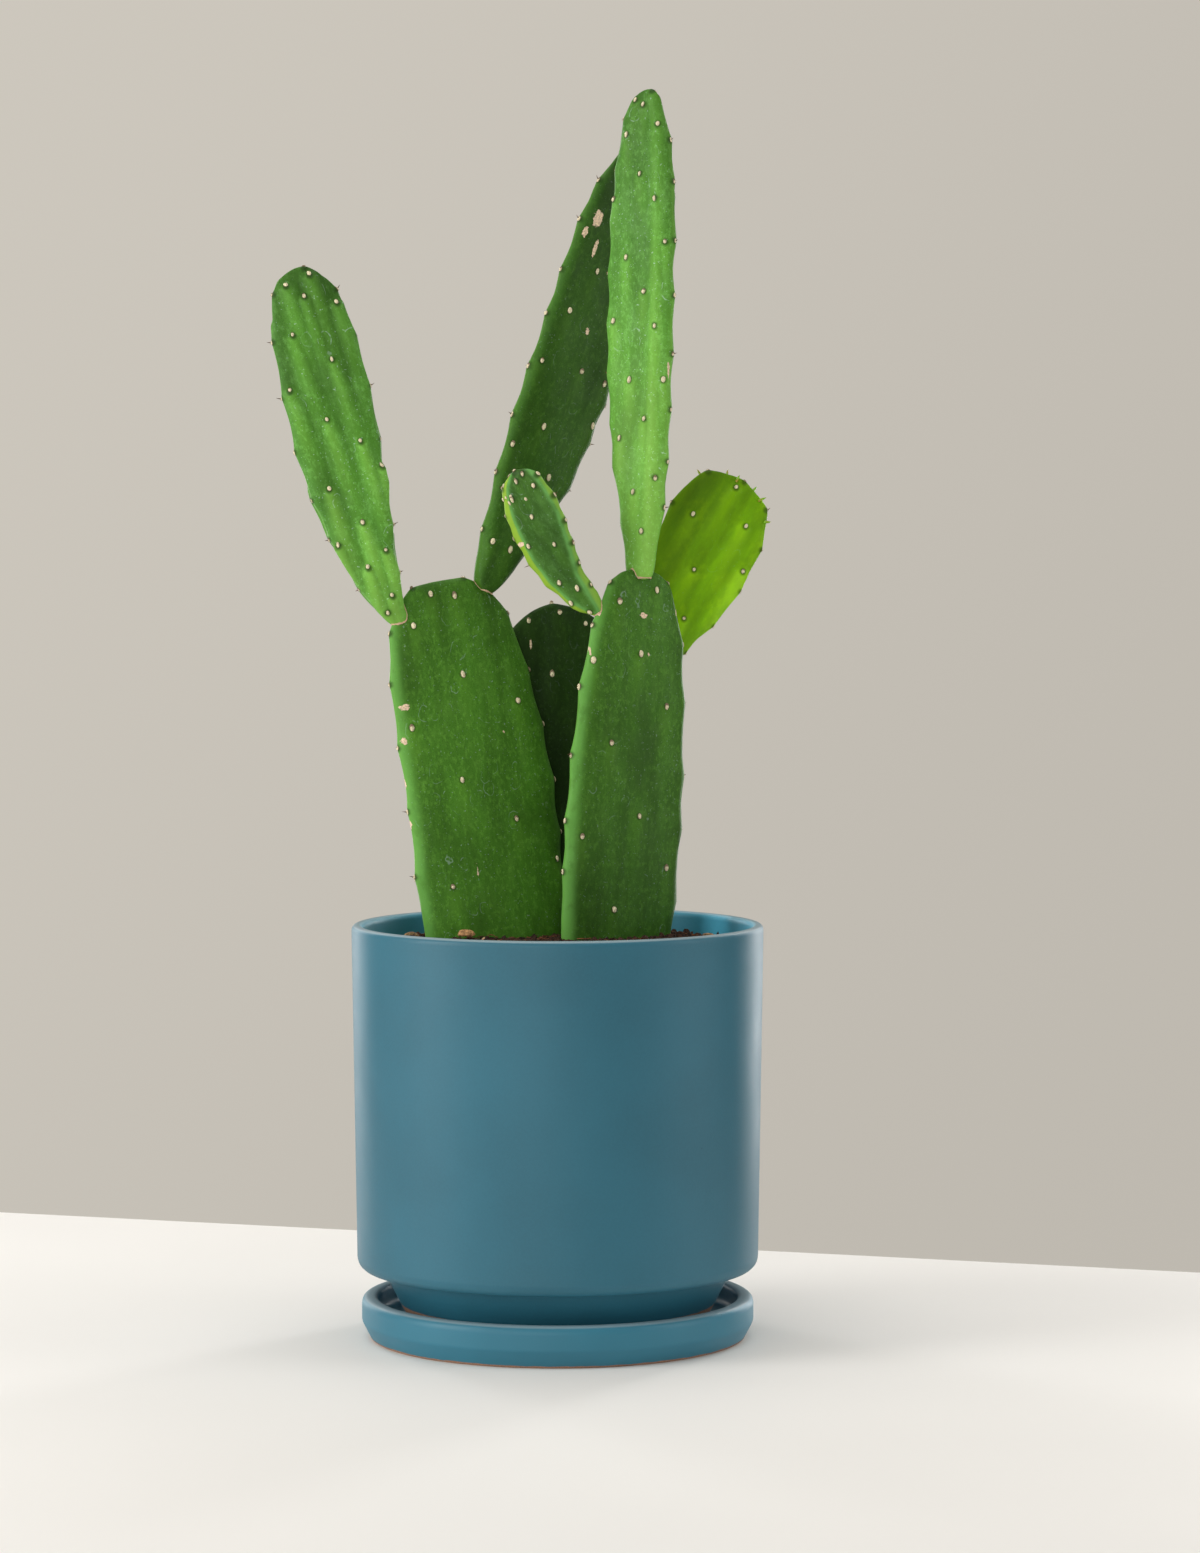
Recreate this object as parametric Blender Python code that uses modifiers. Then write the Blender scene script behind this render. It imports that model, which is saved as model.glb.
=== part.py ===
"""A potted paddle cactus: eight flat pads growing from soil in a glazed pot on its saucer.

Frame: metres, +Z up, origin at the centre of the saucer's underside, the front towards -Y.
Three pads root in the soil, and the others grow from the rims of the pads below them.
"""

import math
from dataclasses import dataclass

import bmesh
import bpy
from mathutils import Matrix, Vector
from mathutils.bvhtree import BVHTree

# Gap kept between two solids that touch, and the lift that keeps it under a piece seated on a curved rim.
GAP = 0.0003
RIM_LIFT = 2.0 * GAP
POCKET_GAP = 1.3 * GAP

# Pot, measured from the plane that its foot stands on.
POT_RADIUS = 0.1015
POT_HEIGHT = 0.1944
POT_TAPER = 0.0025
POT_WALL = 0.0058
POT_FLOOR = 0.0090
POT_CORNER = 0.0055
POT_STEP = 0.0020
FOOT_HEIGHT = 0.0245
FOOT_INSET = 0.0125
FOOT_TAPER = 0.0082
BARE_BAND = 0.0080
BARE_INSET = 0.0045
FOOT_RING = 0.0080
FOOT_RECESS = 0.0030
DRAIN_RADIUS = 0.0080

# Saucer. Its well is the pot's foot plus a gutter all round.
SAUCER_GUTTER = 0.0103
SAUCER_RIM = 0.0082
SAUCER_HEIGHT = 0.0205
SAUCER_FLOOR = 0.0095
SAUCER_UNDERCUT = 0.0045
SAUCER_KNEE = 0.0086

# Soil, below the pot's rim, and how deep the lowest pads stand in it.
HEADSPACE = 0.0075
SOIL_CROWN = 0.0015
BURIED = 0.0280

TURNED_STEPS = 48
ARC_STEPS = 3
RIM_ROUNDING = 0.43

# Pad cage: points round a cross-section, and rings from root to tip.
CAGE_SIDES = 12
CAGE_RINGS = 12
ROOT_CROWDING = 1.2
SECTION_POWER = 2.7
TIP_ROUNDING = 2.5
NECK_END = 0.2
THIN_TIP_START = 0.72
THIN_TIP_POWER = 3.0

# Chips of bark lying on the soil: (share of the soil's radius, bearing in degrees, length).
CHIP_PLACES = (
    (0.535, 209.0, 0.0085),
    (0.735, 248.0, 0.0060),
    (0.690, 318.0, 0.0070),
    (0.840, 20.0, 0.0065),
    (0.800, 164.0, 0.0080),
)
CHIP_WIDTH = 0.68
CHIP_THICKNESS = 0.52
CHIP_SUNK = 0.22
CHIP_TWIST = 0.9

# Leaves near the tip of the youngest pad: (share of its length, bearing in degrees, length).
LEAF_PLACES = (
    (0.62, -24.0, 0.0046),
    (0.66, -10.0, 0.0042),
    (0.66, -2.0, 0.0036),
    (0.66, 12.0, 0.0044),
    (0.66, 20.0, 0.0040),
    (0.62, 31.0, 0.0034),
)
LEAF_RADIUS = 0.0007
LEAF_HOOK = 0.45
LEAF_STATIONS = 6

# Skin colours, from the oldest pads to the youngest.
OLD_GREEN = (0.055, 0.140, 0.022)
MID_GREEN = (0.080, 0.205, 0.034)
YOUNG_GREEN = (0.150, 0.300, 0.012)


@dataclass
class Pad:
    """One pad. Lengths are in metres, angles in degrees, and shares are of the pad's length or width."""

    # The outline widens from root_width to the full width at widest, then closes to a round tip.
    # Higher fullness narrows the lower part, and higher tip_power squares the tip.
    name: str
    length: float
    width: float
    thickness: float
    lean_right: float
    lean_back: float
    turn: float
    widest: float = 0.55
    root_width: float = 0.2
    root_thickness: float = 0.7
    fullness: float = 0.8
    tip_power: float = 3.0
    tip_thickness: float = 0.6
    stem: float = 0.6
    bow: float = 0.0
    colour: tuple = OLD_GREEN
    # A pad in the soil stands at this point; any other grows from its parent's rim.
    foot: tuple = None
    parent: str = None
    # Where a ray in the parent's flat plane starts, and its bearing from the parent's tip direction.
    rim_share: float = 0.7
    rim_bearing: float = 0.0


PADS = (
    Pad("left_base_pad", 0.2070, 0.0800, 0.0185, -7.5, 1.5, 20.0, widest=0.48, root_width=0.86,
        fullness=1.0, tip_power=2.5, bow=0.014, foot=(-0.0284, 0.0100)),
    Pad("right_base_pad", 0.2100, 0.0685, 0.0190, 3.6, 0.0, 33.0, widest=0.42, root_width=0.88,
        fullness=1.0, tip_power=2.6, foot=(0.0272, 0.0090)),
    Pad("rear_base_pad", 0.1930, 0.0750, 0.0160, -1.0, 3.0, 12.0, widest=0.55, root_width=0.70,
        fullness=1.0, foot=(0.0030, 0.0440)),
    Pad("left_arm_pad", 0.1800, 0.0440, 0.0105, -17.4, -3.9, 6.0, widest=0.62, root_width=0.17,
        fullness=1.1, tip_power=2.7, stem=0.38, colour=MID_GREEN, parent="left_base_pad",
        rim_share=0.78, rim_bearing=-39.0),
    Pad("tall_rear_pad", 0.2450, 0.0520, 0.0125, 20.7, 9.8, 35.0, widest=0.52, root_width=0.18,
        fullness=0.85, tip_power=2.0, stem=0.15, parent="left_base_pad", rim_share=0.78,
        rim_bearing=28.0),
    Pad("tall_front_pad", 0.2365, 0.0385, 0.0125, 0.8, -0.8, -34.0, widest=0.58, root_width=0.34,
        fullness=0.85, tip_power=2.6, tip_thickness=0.7, bow=-0.011, colour=MID_GREEN,
        parent="right_base_pad", rim_share=0.80, rim_bearing=0.0),
    Pad("small_front_pad", 0.0790, 0.0305, 0.0090, -31.5, -8.0, -34.0, widest=0.62, root_width=0.16,
        fullness=0.8, tip_power=2.6, stem=0.2, bow=-0.04, colour=MID_GREEN, parent="right_base_pad",
        rim_share=0.78, rim_bearing=-38.0),
    Pad("young_right_pad", 0.1120, 0.0515, 0.0080, 31.5, 2.8, 8.0, widest=0.68, root_width=0.16,
        fullness=0.85, tip_power=2.5, colour=YOUNG_GREEN, parent="rear_base_pad", rim_share=0.68,
        rim_bearing=51.0),
)


def clear_scene():
    for obj in list(bpy.data.objects):
        bpy.data.objects.remove(obj, do_unlink=True)


def new_collection(name, hidden=False):
    collection = bpy.data.collections.new(name)
    bpy.context.scene.collection.children.link(collection)
    collection.hide_render = hidden
    return collection


def principled(name, colour, roughness, metallic=0.0):
    material = bpy.data.materials.new(name)
    material.use_nodes = True
    shader = material.node_tree.nodes["Principled BSDF"]
    shader.inputs["Base Color"].default_value = (*colour, 1.0)
    shader.inputs["Roughness"].default_value = roughness
    shader.inputs["Metallic"].default_value = metallic
    return material


def add_object(name, data, collection, material):
    obj = bpy.data.objects.new(name, data)
    data.materials.append(material)
    collection.objects.link(obj)
    return obj


def rounded(corners):
    """The outline through corners (radius, height, fillet), with an arc in place of each filleted corner."""
    points = []
    count = len(corners)
    for index, (radius, height, fillet) in enumerate(corners):
        corner = Vector((radius, height))
        if fillet <= 0:
            points.append(corner)
            continue
        before = (Vector(corners[index - 1][:2]) - corner).normalized()
        after = (Vector(corners[(index + 1) % count][:2]) - corner).normalized()
        half = before.angle(after) / 2
        centre = corner + (before + after).normalized() * (fillet / math.sin(half))
        start = corner + before * (fillet / math.tan(half)) - centre
        end = corner + after * (fillet / math.tan(half)) - centre
        sweep = start.angle_signed(end)
        for step in range(ARC_STEPS + 1):
            arm = start.copy()
            arm.rotate(Matrix.Rotation(-sweep * step / ARC_STEPS, 2))
            points.append(centre + arm)
    return points


def turned(name, corners, closed, collection, material):
    """A solid of revolution about Z. The outline runs down its outer side."""
    points = rounded(corners)
    mesh = bpy.data.meshes.new(name)
    edges = [(i, i + 1) for i in range(len(points) - 1)]
    if closed:
        edges.append((len(points) - 1, 0))
    mesh.from_pydata([(p.x, 0.0, p.y) for p in points], edges, [])
    obj = add_object(name, mesh, collection, material)
    screw = obj.modifiers.new("Turn", "SCREW")
    screw.axis = "Z"
    screw.angle = 2 * math.pi
    screw.steps = TURNED_STEPS
    screw.render_steps = TURNED_STEPS
    screw.use_merge_vertices = True
    screw.merge_threshold = 0.00001
    screw.use_smooth_shade = True
    return obj


def body_base_radius():
    return POT_RADIUS - POT_TAPER


def foot_top_radius():
    return body_base_radius() - FOOT_INSET


def foot_line_radius():
    return foot_top_radius() - FOOT_TAPER


def foot_stand_radius():
    return foot_line_radius() - BARE_INSET


def pot_inside(clearance=0.0):
    """The pot's inner corners from the drain hole's edge up to the rim, drawn in by a clearance."""
    step_height = FOOT_HEIGHT + POT_WALL + clearance
    inward = POT_WALL + clearance
    return [
        (foot_stand_radius() - inward, POT_FLOOR + clearance, 0.0040),
        (foot_top_radius() - inward, step_height, 0.0030),
        (body_base_radius() - inward, step_height + POT_STEP, 0.0020),
        (POT_RADIUS - inward, POT_HEIGHT, RIM_ROUNDING * POT_WALL),
    ]


def inside_radius(height):
    """The pot's inner radius at a height between its shoulder and its rim."""
    low, high = pot_inside()[2], pot_inside()[3]
    share = (height - low[1]) / (high[1] - low[1])
    return low[0] + share * (high[0] - low[0])


def make_saucer(collection, glaze):
    well = foot_line_radius() + SAUCER_GUTTER
    outer = well + SAUCER_RIM
    corners = [
        (0.0, SAUCER_FLOOR, 0.0),
        (well, SAUCER_FLOOR, 0.0035),
        (well, SAUCER_HEIGHT, 0.0024),
        (outer, SAUCER_HEIGHT, 0.0034),
        (outer, SAUCER_KNEE, 0.0045),
        (outer - SAUCER_UNDERCUT, 0.0, 0.0),
        (0.0, 0.0, 0.0),
    ]
    return turned("saucer", corners, False, collection, glaze)


def make_pot(collection, glaze):
    stand = foot_stand_radius()
    outside = [
        (POT_RADIUS, POT_HEIGHT, RIM_ROUNDING * POT_WALL),
        (body_base_radius(), FOOT_HEIGHT, POT_CORNER),
        (foot_top_radius(), FOOT_HEIGHT, 0.0015),
        (foot_line_radius(), BARE_BAND, 0.0012),
        (stand, 0.0, 0.0008),
        (stand - FOOT_RING, 0.0, 0.0),
        (stand - FOOT_RING, FOOT_RECESS, 0.0),
        (DRAIN_RADIUS, FOOT_RECESS, 0.0),
        (DRAIN_RADIUS, POT_FLOOR, 0.0),
    ]
    pot = turned("pot", outside + pot_inside(), True, collection, glaze)
    pot.location.z = SAUCER_FLOOR + GAP
    return pot


def soil_level():
    return SAUCER_FLOOR + GAP + POT_HEIGHT - HEADSPACE


def soil_radius():
    return inside_radius(POT_HEIGHT - HEADSPACE) - GAP


def make_soil(collection, earth):
    """A plug that follows the pot's inside, slightly crowned on top."""
    top = POT_HEIGHT - HEADSPACE
    floor, step, shoulder, _ = pot_inside(GAP)
    wall = soil_radius()
    corners = [
        (0.0, top + SOIL_CROWN, 0.0),
        (0.5 * wall, top + 0.75 * SOIL_CROWN, 0.0),
        (wall, top, 0.0),
        shoulder,
        step,
        floor,
        (0.0, POT_FLOOR + GAP, 0.0),
    ]
    soil = turned("soil", corners, False, collection, earth)
    soil.location.z = SAUCER_FLOOR + GAP
    return soil


def ease(value):
    value = min(1.0, max(0.0, value))
    return value * value * (3.0 - 2.0 * value)


def width_share(pad, share):
    """The pad's width at a share of its length, as a share of its greatest width."""
    if share < pad.widest:
        rise = math.sin(0.5 * math.pi * share / pad.widest) ** pad.fullness
        return pad.root_width + (1.0 - pad.root_width) * rise
    past = (share - pad.widest) / (1.0 - pad.widest)
    return max(0.0, 1.0 - past**pad.tip_power) ** (1.0 / TIP_ROUNDING)


def thickness_share(pad, share):
    """The pad's thickness at a share of its length, as a share of its greatest thickness."""
    root = pad.root_thickness + (1.0 - pad.root_thickness) * ease(share / NECK_END)
    thinning = 1.0 - (1.0 - pad.tip_thickness) * share
    past = max(0.0, (share - THIN_TIP_START) / (1.0 - THIN_TIP_START))
    return root * thinning * max(0.0, 1.0 - past**THIN_TIP_POWER) ** 0.5


def spine_point(pad, root_way, share):
    """The pad's centre line: it leaves along root_way and bends round to the pad's own +Z."""
    leave = share * (1.0 - share) ** 2 * pad.stem * pad.length
    arrive = share * share * (3.0 - 2.0 * share) + share * share * (share - 1.0)
    point = root_way * leave + Vector((0.0, 0.0, pad.length * arrive))
    point.x += pad.bow * pad.length * math.sin(math.pi * share) ** 2
    return point


def signed_power(value, power):
    return math.copysign(abs(value) ** power, value)


def pad_cage(pad, root_way):
    """A sphere of rings drawn out along the pad's centre line, each ring a flattened oval."""
    cage = bmesh.new()
    bmesh.ops.create_uvsphere(cage, u_segments=CAGE_SIDES, v_segments=CAGE_RINGS, radius=1.0)
    step = 0.01
    for vert in cage.verts:
        sphere = vert.co.copy()
        share = (max(0.0, 1.0 + sphere.z) / 2.0) ** ROOT_CROWDING
        ring = math.hypot(sphere.x, sphere.y)
        across, through = (sphere.x / ring, sphere.y / ring) if ring > 1e-6 else (0.0, 0.0)
        before = spine_point(pad, root_way, max(0.0, share - step))
        after = spine_point(pad, root_way, min(1.0, share + step))
        along = (after - before).normalized()
        wide_way = Vector((0.0, 1.0, 0.0)).cross(along).normalized()
        thick_way = along.cross(wide_way)
        half_width = 0.5 * pad.width * width_share(pad, share)
        half_thickness = 0.5 * pad.thickness * thickness_share(pad, share)
        vert.co = (
            spine_point(pad, root_way, share)
            + wide_way * half_width * signed_power(across, 2.0 / SECTION_POWER)
            + thick_way * half_thickness * signed_power(through, 2.0 / SECTION_POWER)
        )
    mesh = bpy.data.meshes.new(pad.name)
    cage.to_mesh(mesh)
    cage.free()
    mesh.shade_smooth()
    return mesh


def pad_rotation(pad):
    lean = Matrix.Rotation(math.radians(pad.lean_right), 4, "Y")
    back = Matrix.Rotation(-math.radians(pad.lean_back), 4, "X")
    turn = Matrix.Rotation(math.radians(pad.turn), 4, "Z")
    return lean @ back @ turn


def surface_tree(obj):
    """The object's evaluated surface, in its own coordinates."""
    bpy.context.view_layer.update()
    return BVHTree.FromObject(obj, bpy.context.evaluated_depsgraph_get())


def rim_place(parent, share, bearing, reach):
    """Where a ray in the pad's flat plane leaves its rim, and the rim's mean direction within reach of there."""
    start = Vector((0.0, 0.0, share * parent["length"]))
    angle = math.radians(bearing)
    ray = Vector((math.sin(angle), 0.0, math.cos(angle)))
    tree = surface_tree(parent)
    hit = tree.ray_cast(start, ray)[0]
    outward = sum((near[1] for near in tree.find_nearest_range(hit, reach)), Vector())
    world = parent.matrix_world
    return world @ hit, (world.to_3x3() @ outward).normalized()


def make_pad(pad, made, collection):
    material = principled(pad.name, pad.colour, 0.45)
    rotation = pad_rotation(pad)
    if pad.parent:
        parent = made[pad.parent]
        reach = 0.5 * pad.width * pad.root_width
        place, outward = rim_place(parent, pad.rim_share, pad.rim_bearing, reach)
        place = place + outward * RIM_LIFT
        root_way = rotation.to_3x3().inverted() @ outward
    else:
        parent = None
        place = Vector((*pad.foot, soil_level() - BURIED))
        root_way = Vector((0.0, 0.0, 1.0))
    obj = add_object(pad.name, pad_cage(pad, root_way), collection, material)
    obj["length"] = pad.length
    smooth = obj.modifiers.new("Smooth", "SUBSURF")
    smooth.levels = 1
    smooth.render_levels = 1
    obj.parent = parent
    obj.matrix_world = Matrix.Translation(place) @ rotation
    return obj


def cut_pockets(soil, pads, cutters, earth):
    """Cuts a close-fitting pocket in the soil for each pad that roots in it."""
    for pad in pads:
        cutter = add_object(f"{pad.name}_pocket", pad.data.copy(), cutters, earth)
        cutter.matrix_world = pad.matrix_world
        cutter.display_type = "WIRE"
        cutter.hide_render = True
        smooth = cutter.modifiers.new("Smooth", "SUBSURF")
        smooth.levels = 1
        smooth.render_levels = 1
        swell = cutter.modifiers.new("Swell", "DISPLACE")
        swell.strength = POCKET_GAP
        swell.mid_level = 0.0
        cut = soil.modifiers.new(f"Pocket for {pad.name}", "BOOLEAN")
        cut.operation = "DIFFERENCE"
        cut.object = cutter


def chip_mesh(name, index, length):
    """An irregular flake, cut flat where it lies."""
    chip = bmesh.new()
    bmesh.ops.create_icosphere(chip, subdivisions=2, radius=0.5)
    for vert in chip.verts:
        ripple_x = 1.0 + 0.18 * math.sin(7.0 * vert.co.y + index)
        ripple_y = 1.0 + 0.15 * math.cos(6.0 * vert.co.z + 2.0 * index)
        vert.co.x *= length * ripple_x
        vert.co.y *= length * CHIP_WIDTH * ripple_y
        vert.co.z = length * CHIP_THICKNESS * (max(-CHIP_SUNK, vert.co.z) + CHIP_SUNK)
    mesh = bpy.data.meshes.new(name)
    chip.to_mesh(mesh)
    chip.free()
    return mesh


def make_chips(soil, collection, bark):
    """Lays the bark chips on the soil, each a gap above the ground under it."""
    ground = surface_tree(soil)
    for index, (share, bearing, length) in enumerate(CHIP_PLACES):
        angle = math.radians(bearing)
        radius = share * soil_radius()
        above = Vector((radius * math.cos(angle), radius * math.sin(angle), 2.0 * POT_HEIGHT))
        hit = ground.ray_cast(above, Vector((0.0, 0.0, -1.0)))[0]
        name = f"bark_chip_{index + 1}"
        obj = add_object(name, chip_mesh(name, index, length), collection, bark)
        obj.location = soil.matrix_world @ hit + Vector((0.0, 0.0, GAP))
        obj.rotation_euler.z = angle + CHIP_TWIST * index


def make_leaves(pad, collection, green):
    """Short curved leaves standing on the rim of the youngest pad, each tapering to a point."""
    for index, (share, bearing, length) in enumerate(LEAF_PLACES):
        place, outward = rim_place(pad, share, bearing, LEAF_RADIUS)
        curve = bpy.data.curves.new(f"young_leaf_{index + 1}", "CURVE")
        curve.dimensions = "3D"
        curve.bevel_depth = LEAF_RADIUS
        curve.bevel_resolution = 2
        curve.use_fill_caps = True
        spline = curve.splines.new("POLY")
        spline.points.add(LEAF_STATIONS - 1)
        for station, point in enumerate(spline.points):
            share_up = station / (LEAF_STATIONS - 1)
            hook = LEAF_HOOK * length * share_up**2
            point.co = (hook if index % 2 else -hook, 0.0, length * share_up, 1.0)
            point.radius = 0.75 + 0.5 * math.sin(2.2 * share_up) - 1.05 * share_up**2
        obj = add_object(curve.name, curve, collection, green)
        facing = outward.to_track_quat("Z", "Y").to_matrix().to_4x4()
        obj.matrix_world = Matrix.Translation(place + outward * RIM_LIFT) @ facing
        obj.parent = pad
        obj.matrix_parent_inverse = pad.matrix_world.inverted()


def main():
    clear_scene()
    collection = new_collection("potted_paddle_cactus")
    cutters = new_collection("cutters", hidden=True)
    glaze = principled("teal_glaze", (0.070, 0.195, 0.252), 0.42)
    earth = principled("potting_soil", (0.050, 0.028, 0.019), 0.95)
    bark = principled("bark", (0.420, 0.250, 0.120), 0.80)
    leaf = principled("young_leaf", (0.250, 0.360, 0.030), 0.50)
    make_saucer(collection, glaze)
    make_pot(collection, glaze)
    soil = make_soil(collection, earth)
    made = {}
    for pad in PADS:
        made[pad.name] = make_pad(pad, made, collection)
    bpy.context.view_layer.update()
    rooted = [made[pad.name] for pad in PADS if not pad.parent]
    cut_pockets(soil, rooted, cutters, earth)
    make_chips(soil, collection, bark)
    make_leaves(made["young_right_pad"], collection, leaf)


main()
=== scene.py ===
"""A potted paddle cactus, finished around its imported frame."""

import math
import random
from typing import NamedTuple

import bmesh
import bpy
import numpy as np
from bpy.props import FloatProperty, FloatVectorProperty, IntProperty, PointerProperty
from mathutils import Matrix, Vector, noise
from mathutils.bvhtree import BVHTree


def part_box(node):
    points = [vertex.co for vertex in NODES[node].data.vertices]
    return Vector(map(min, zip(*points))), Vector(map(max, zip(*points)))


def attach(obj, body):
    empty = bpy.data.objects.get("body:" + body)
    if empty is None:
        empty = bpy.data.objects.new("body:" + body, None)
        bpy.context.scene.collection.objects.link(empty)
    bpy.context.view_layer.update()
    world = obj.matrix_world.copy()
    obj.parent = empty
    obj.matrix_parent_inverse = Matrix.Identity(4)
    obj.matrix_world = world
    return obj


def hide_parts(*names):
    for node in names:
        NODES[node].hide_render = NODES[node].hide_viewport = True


bl_info = {
    "name": "Potted Paddle Cactus",
    "version": (1, 0, 0),
    "blender": (4, 5, 0),
    "location": "3D Viewport > Sidebar > Cactus",
    "description": "Finishes a paddle cactus in its glazed pot, piece by piece",
    "category": "Object",
}

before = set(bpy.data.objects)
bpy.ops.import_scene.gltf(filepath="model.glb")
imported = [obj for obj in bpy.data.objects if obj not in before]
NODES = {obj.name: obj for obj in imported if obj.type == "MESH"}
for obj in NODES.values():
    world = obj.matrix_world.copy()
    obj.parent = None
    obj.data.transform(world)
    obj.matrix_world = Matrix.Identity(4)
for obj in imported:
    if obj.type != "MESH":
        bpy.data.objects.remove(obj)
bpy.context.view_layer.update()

QUAD_LIMIT = math.radians(80)
CAGE_STEPS = 6
TURN_STEPS = 192
PAD_LEVELS = 3
SLICES = 60
ON_AXIS = 2e-5
POT_WALL_IN = 0.0045
# How much lighter the saucer's glaze is painted than the pot's: painted light.
SAUCER_PAINTED_LIGHT = 1.4

BARE_ROUGHNESS = 0.85
# Pale line at the lip: partly thinning glaze, partly painted highlight.
THIN_GLAZE_AND_HIGHLIGHT = (0.60, 0.66, 0.66, 1.0)
FROST = (0.42, 0.57, 0.49, 1.0)
# Painted light: a paler green where the pads' tone is raised most.
PAINTED_LIGHT_GREEN = (0.25, 0.45, 0.085, 1.0)
# Pale yellow-green where the painted lit strip is strongest: partly the small pad's own paler rim, partly
# painted highlight.
PALE_RIM_AND_SHEEN = (0.30, 0.48, 0.03, 1.0)
AREOLE_BROWN = (0.10, 0.045, 0.022, 1.0)
LEAF_RUST = (0.33, 0.26, 0.02, 1.0)


# ---------------------------------------------------------------- sizes and colours


def colour_setting(name, description, default):
    return FloatVectorProperty(
        name=name, description=description, default=default,
        size=3, min=0.0, max=1.0, subtype="COLOR",
    )


def length_setting(name, description, default, low, high):
    return FloatProperty(
        name=name, description=description, default=default,
        min=low, max=high, unit="LENGTH", subtype="DISTANCE",
    )


def share_setting(name, description, default):
    return FloatProperty(
        name=name, description=description, default=default,
        min=0.0, max=1.0, subtype="FACTOR",
    )


def power_setting(name, description, default):
    return FloatProperty(name=name, description=description, default=default, min=0.0, unit="POWER")


class GlazeSettings(bpy.types.PropertyGroup):
    glaze: colour_setting("Glaze", "Colour of the satin glaze", (0.022, 0.128, 0.186))
    clay: colour_setting("Clay", "Colour of the bare clay at the foot", (0.36, 0.20, 0.13))
    gloss_loss: share_setting("Roughness", "How dull the glaze is", 0.46)
    foot_line: length_setting("Foot line", "Height of bare clay on the pot's foot", 0.0075, 0.0, 0.03)
    saucer_line: length_setting("Saucer line", "Height of bare clay on the saucer", 0.0009, 0.0, 0.01)


class PadSettings(bpy.types.PropertyGroup):
    old_green: colour_setting("Old pads", "Green of the large pads", (0.062, 0.195, 0.016))
    grown_green: colour_setting("Grown pads", "Green of the long upper pads", (0.066, 0.205, 0.022))
    young_green: colour_setting("Young pad", "Green of the youngest pad", (0.150, 0.355, 0.001))
    cork: colour_setting("Cork", "Colour of scars and collars", (0.70, 0.53, 0.38))
    felt: colour_setting("Areole felt", "Colour of the small felted cushions", (0.88, 0.74, 0.50))
    areole: length_setting("Areole", "Length of one areole", 0.0033, 0.001, 0.006)
    roughness: share_setting("Roughness", "How dull the skin is", 0.50)


class SoilSettings(bpy.types.PropertyGroup):
    earth: colour_setting("Earth", "Colour of the potting soil", (0.030, 0.016, 0.010))
    bark: colour_setting("Bark", "Colour of the pale bark chips", (0.52, 0.33, 0.16))
    crumbs: IntProperty(name="Crumbs", description="Number of loose crumbs", default=1500, min=0, max=4000)
    roughness_height: length_setting("Relief", "Height of the soil's relief", 0.0016, 0.0, 0.004)


class StageSettings(bpy.types.PropertyGroup):
    table: colour_setting("Table", "Colour of the table top", (0.85, 0.83, 0.80))
    wall: colour_setting("Wall", "Colour around the scene", (0.575, 0.540, 0.480))
    ambient: share_setting("Ambient", "Share of the wall's light that reaches the scene", 0.5)
    key: power_setting("Key", "Power of the large light on the left", 20.0)
    fill: power_setting("Fill", "Power of the light on the right", 6.6)
    overhead: power_setting("Overhead", "Power of the light above", 17.4)
    front: power_setting("Front", "Power of the light in front", 12.8)


# ---------------------------------------------------------------- materials


def add_node(tree, kind, inputs=None, **settings):
    node = tree.nodes.new(kind)
    for name, value in settings.items():
        setattr(node, name, value)
    for name, value in (inputs or {}).items():
        if isinstance(value, bpy.types.NodeSocket):
            tree.links.new(value, node.inputs[name])
        else:
            node.inputs[name].default_value = value
    return node


def new_material(name, roughness, **sockets):
    """A material and its tree, with constants on the shader's own sockets."""
    material = bpy.data.materials.new(name)
    material.use_nodes = True
    tree = material.node_tree
    shader = tree.nodes["Principled BSDF"]
    shader.inputs["Roughness"].default_value = roughness
    for socket, value in sockets.items():
        shader.inputs[socket.replace("_", " ")].default_value = value
    return material, tree, shader


def rgba(colour, gain=1.0):
    return (*(min(1.0, channel * gain) for channel in colour), 1.0)


def attribute(tree, name, output="Fac"):
    return add_node(tree, "ShaderNodeAttribute", attribute_name=name).outputs[output]


def object_place(tree):
    return add_node(tree, "ShaderNodeTexCoord").outputs["Object"]


def stretched(tree, vector, scale):
    return add_node(tree, "ShaderNodeMapping", {"Vector": vector, "Scale": scale}).outputs["Vector"]


def cloud(tree, vector, scale, detail=3.0, rough=0.5):
    inputs = {"Vector": vector, "Scale": scale, "Detail": detail, "Roughness": rough}
    return add_node(tree, "ShaderNodeTexNoise", inputs).outputs["Fac"]


def between(tree, value, low, high, to_low=0.0, to_high=1.0):
    """Maps low..high to to_low..to_high smoothly, and holds the ends."""
    inputs = {"Value": value, "From Min": low, "From Max": high, "To Min": to_low, "To Max": to_high}
    node = add_node(tree, "ShaderNodeMapRange", inputs, interpolation_type="SMOOTHSTEP")
    return node.outputs["Result"]


def patches(tree, vector, scale, detail, low, high, to_low=0.0, to_high=1.0, rough=0.5):
    """A cloud cut at low and high, so that it comes in patches."""
    return between(tree, cloud(tree, vector, scale, detail, rough), low, high, to_low, to_high)


def sums(tree, operation, first, second=0.0):
    return add_node(tree, "ShaderNodeMath", {0: first, 1: second}, operation=operation).outputs[0]


def mixed(tree, factor, first, second, blend="MIX"):
    inputs = {0: factor, 6: first, 7: second}
    node = add_node(tree, "ShaderNodeMix", inputs, data_type="RGBA", blend_type=blend)
    return node.outputs[2]


def scaled(tree, value, factor):
    return sums(tree, "MULTIPLY", value, factor)


def wander(tree, place, scale, detail, rough, reach):
    """A cloud round zero, for making a line or an edge uneven."""
    return scaled(tree, sums(tree, "SUBTRACT", cloud(tree, place, scale, detail, rough), 0.5), reach)


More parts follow.
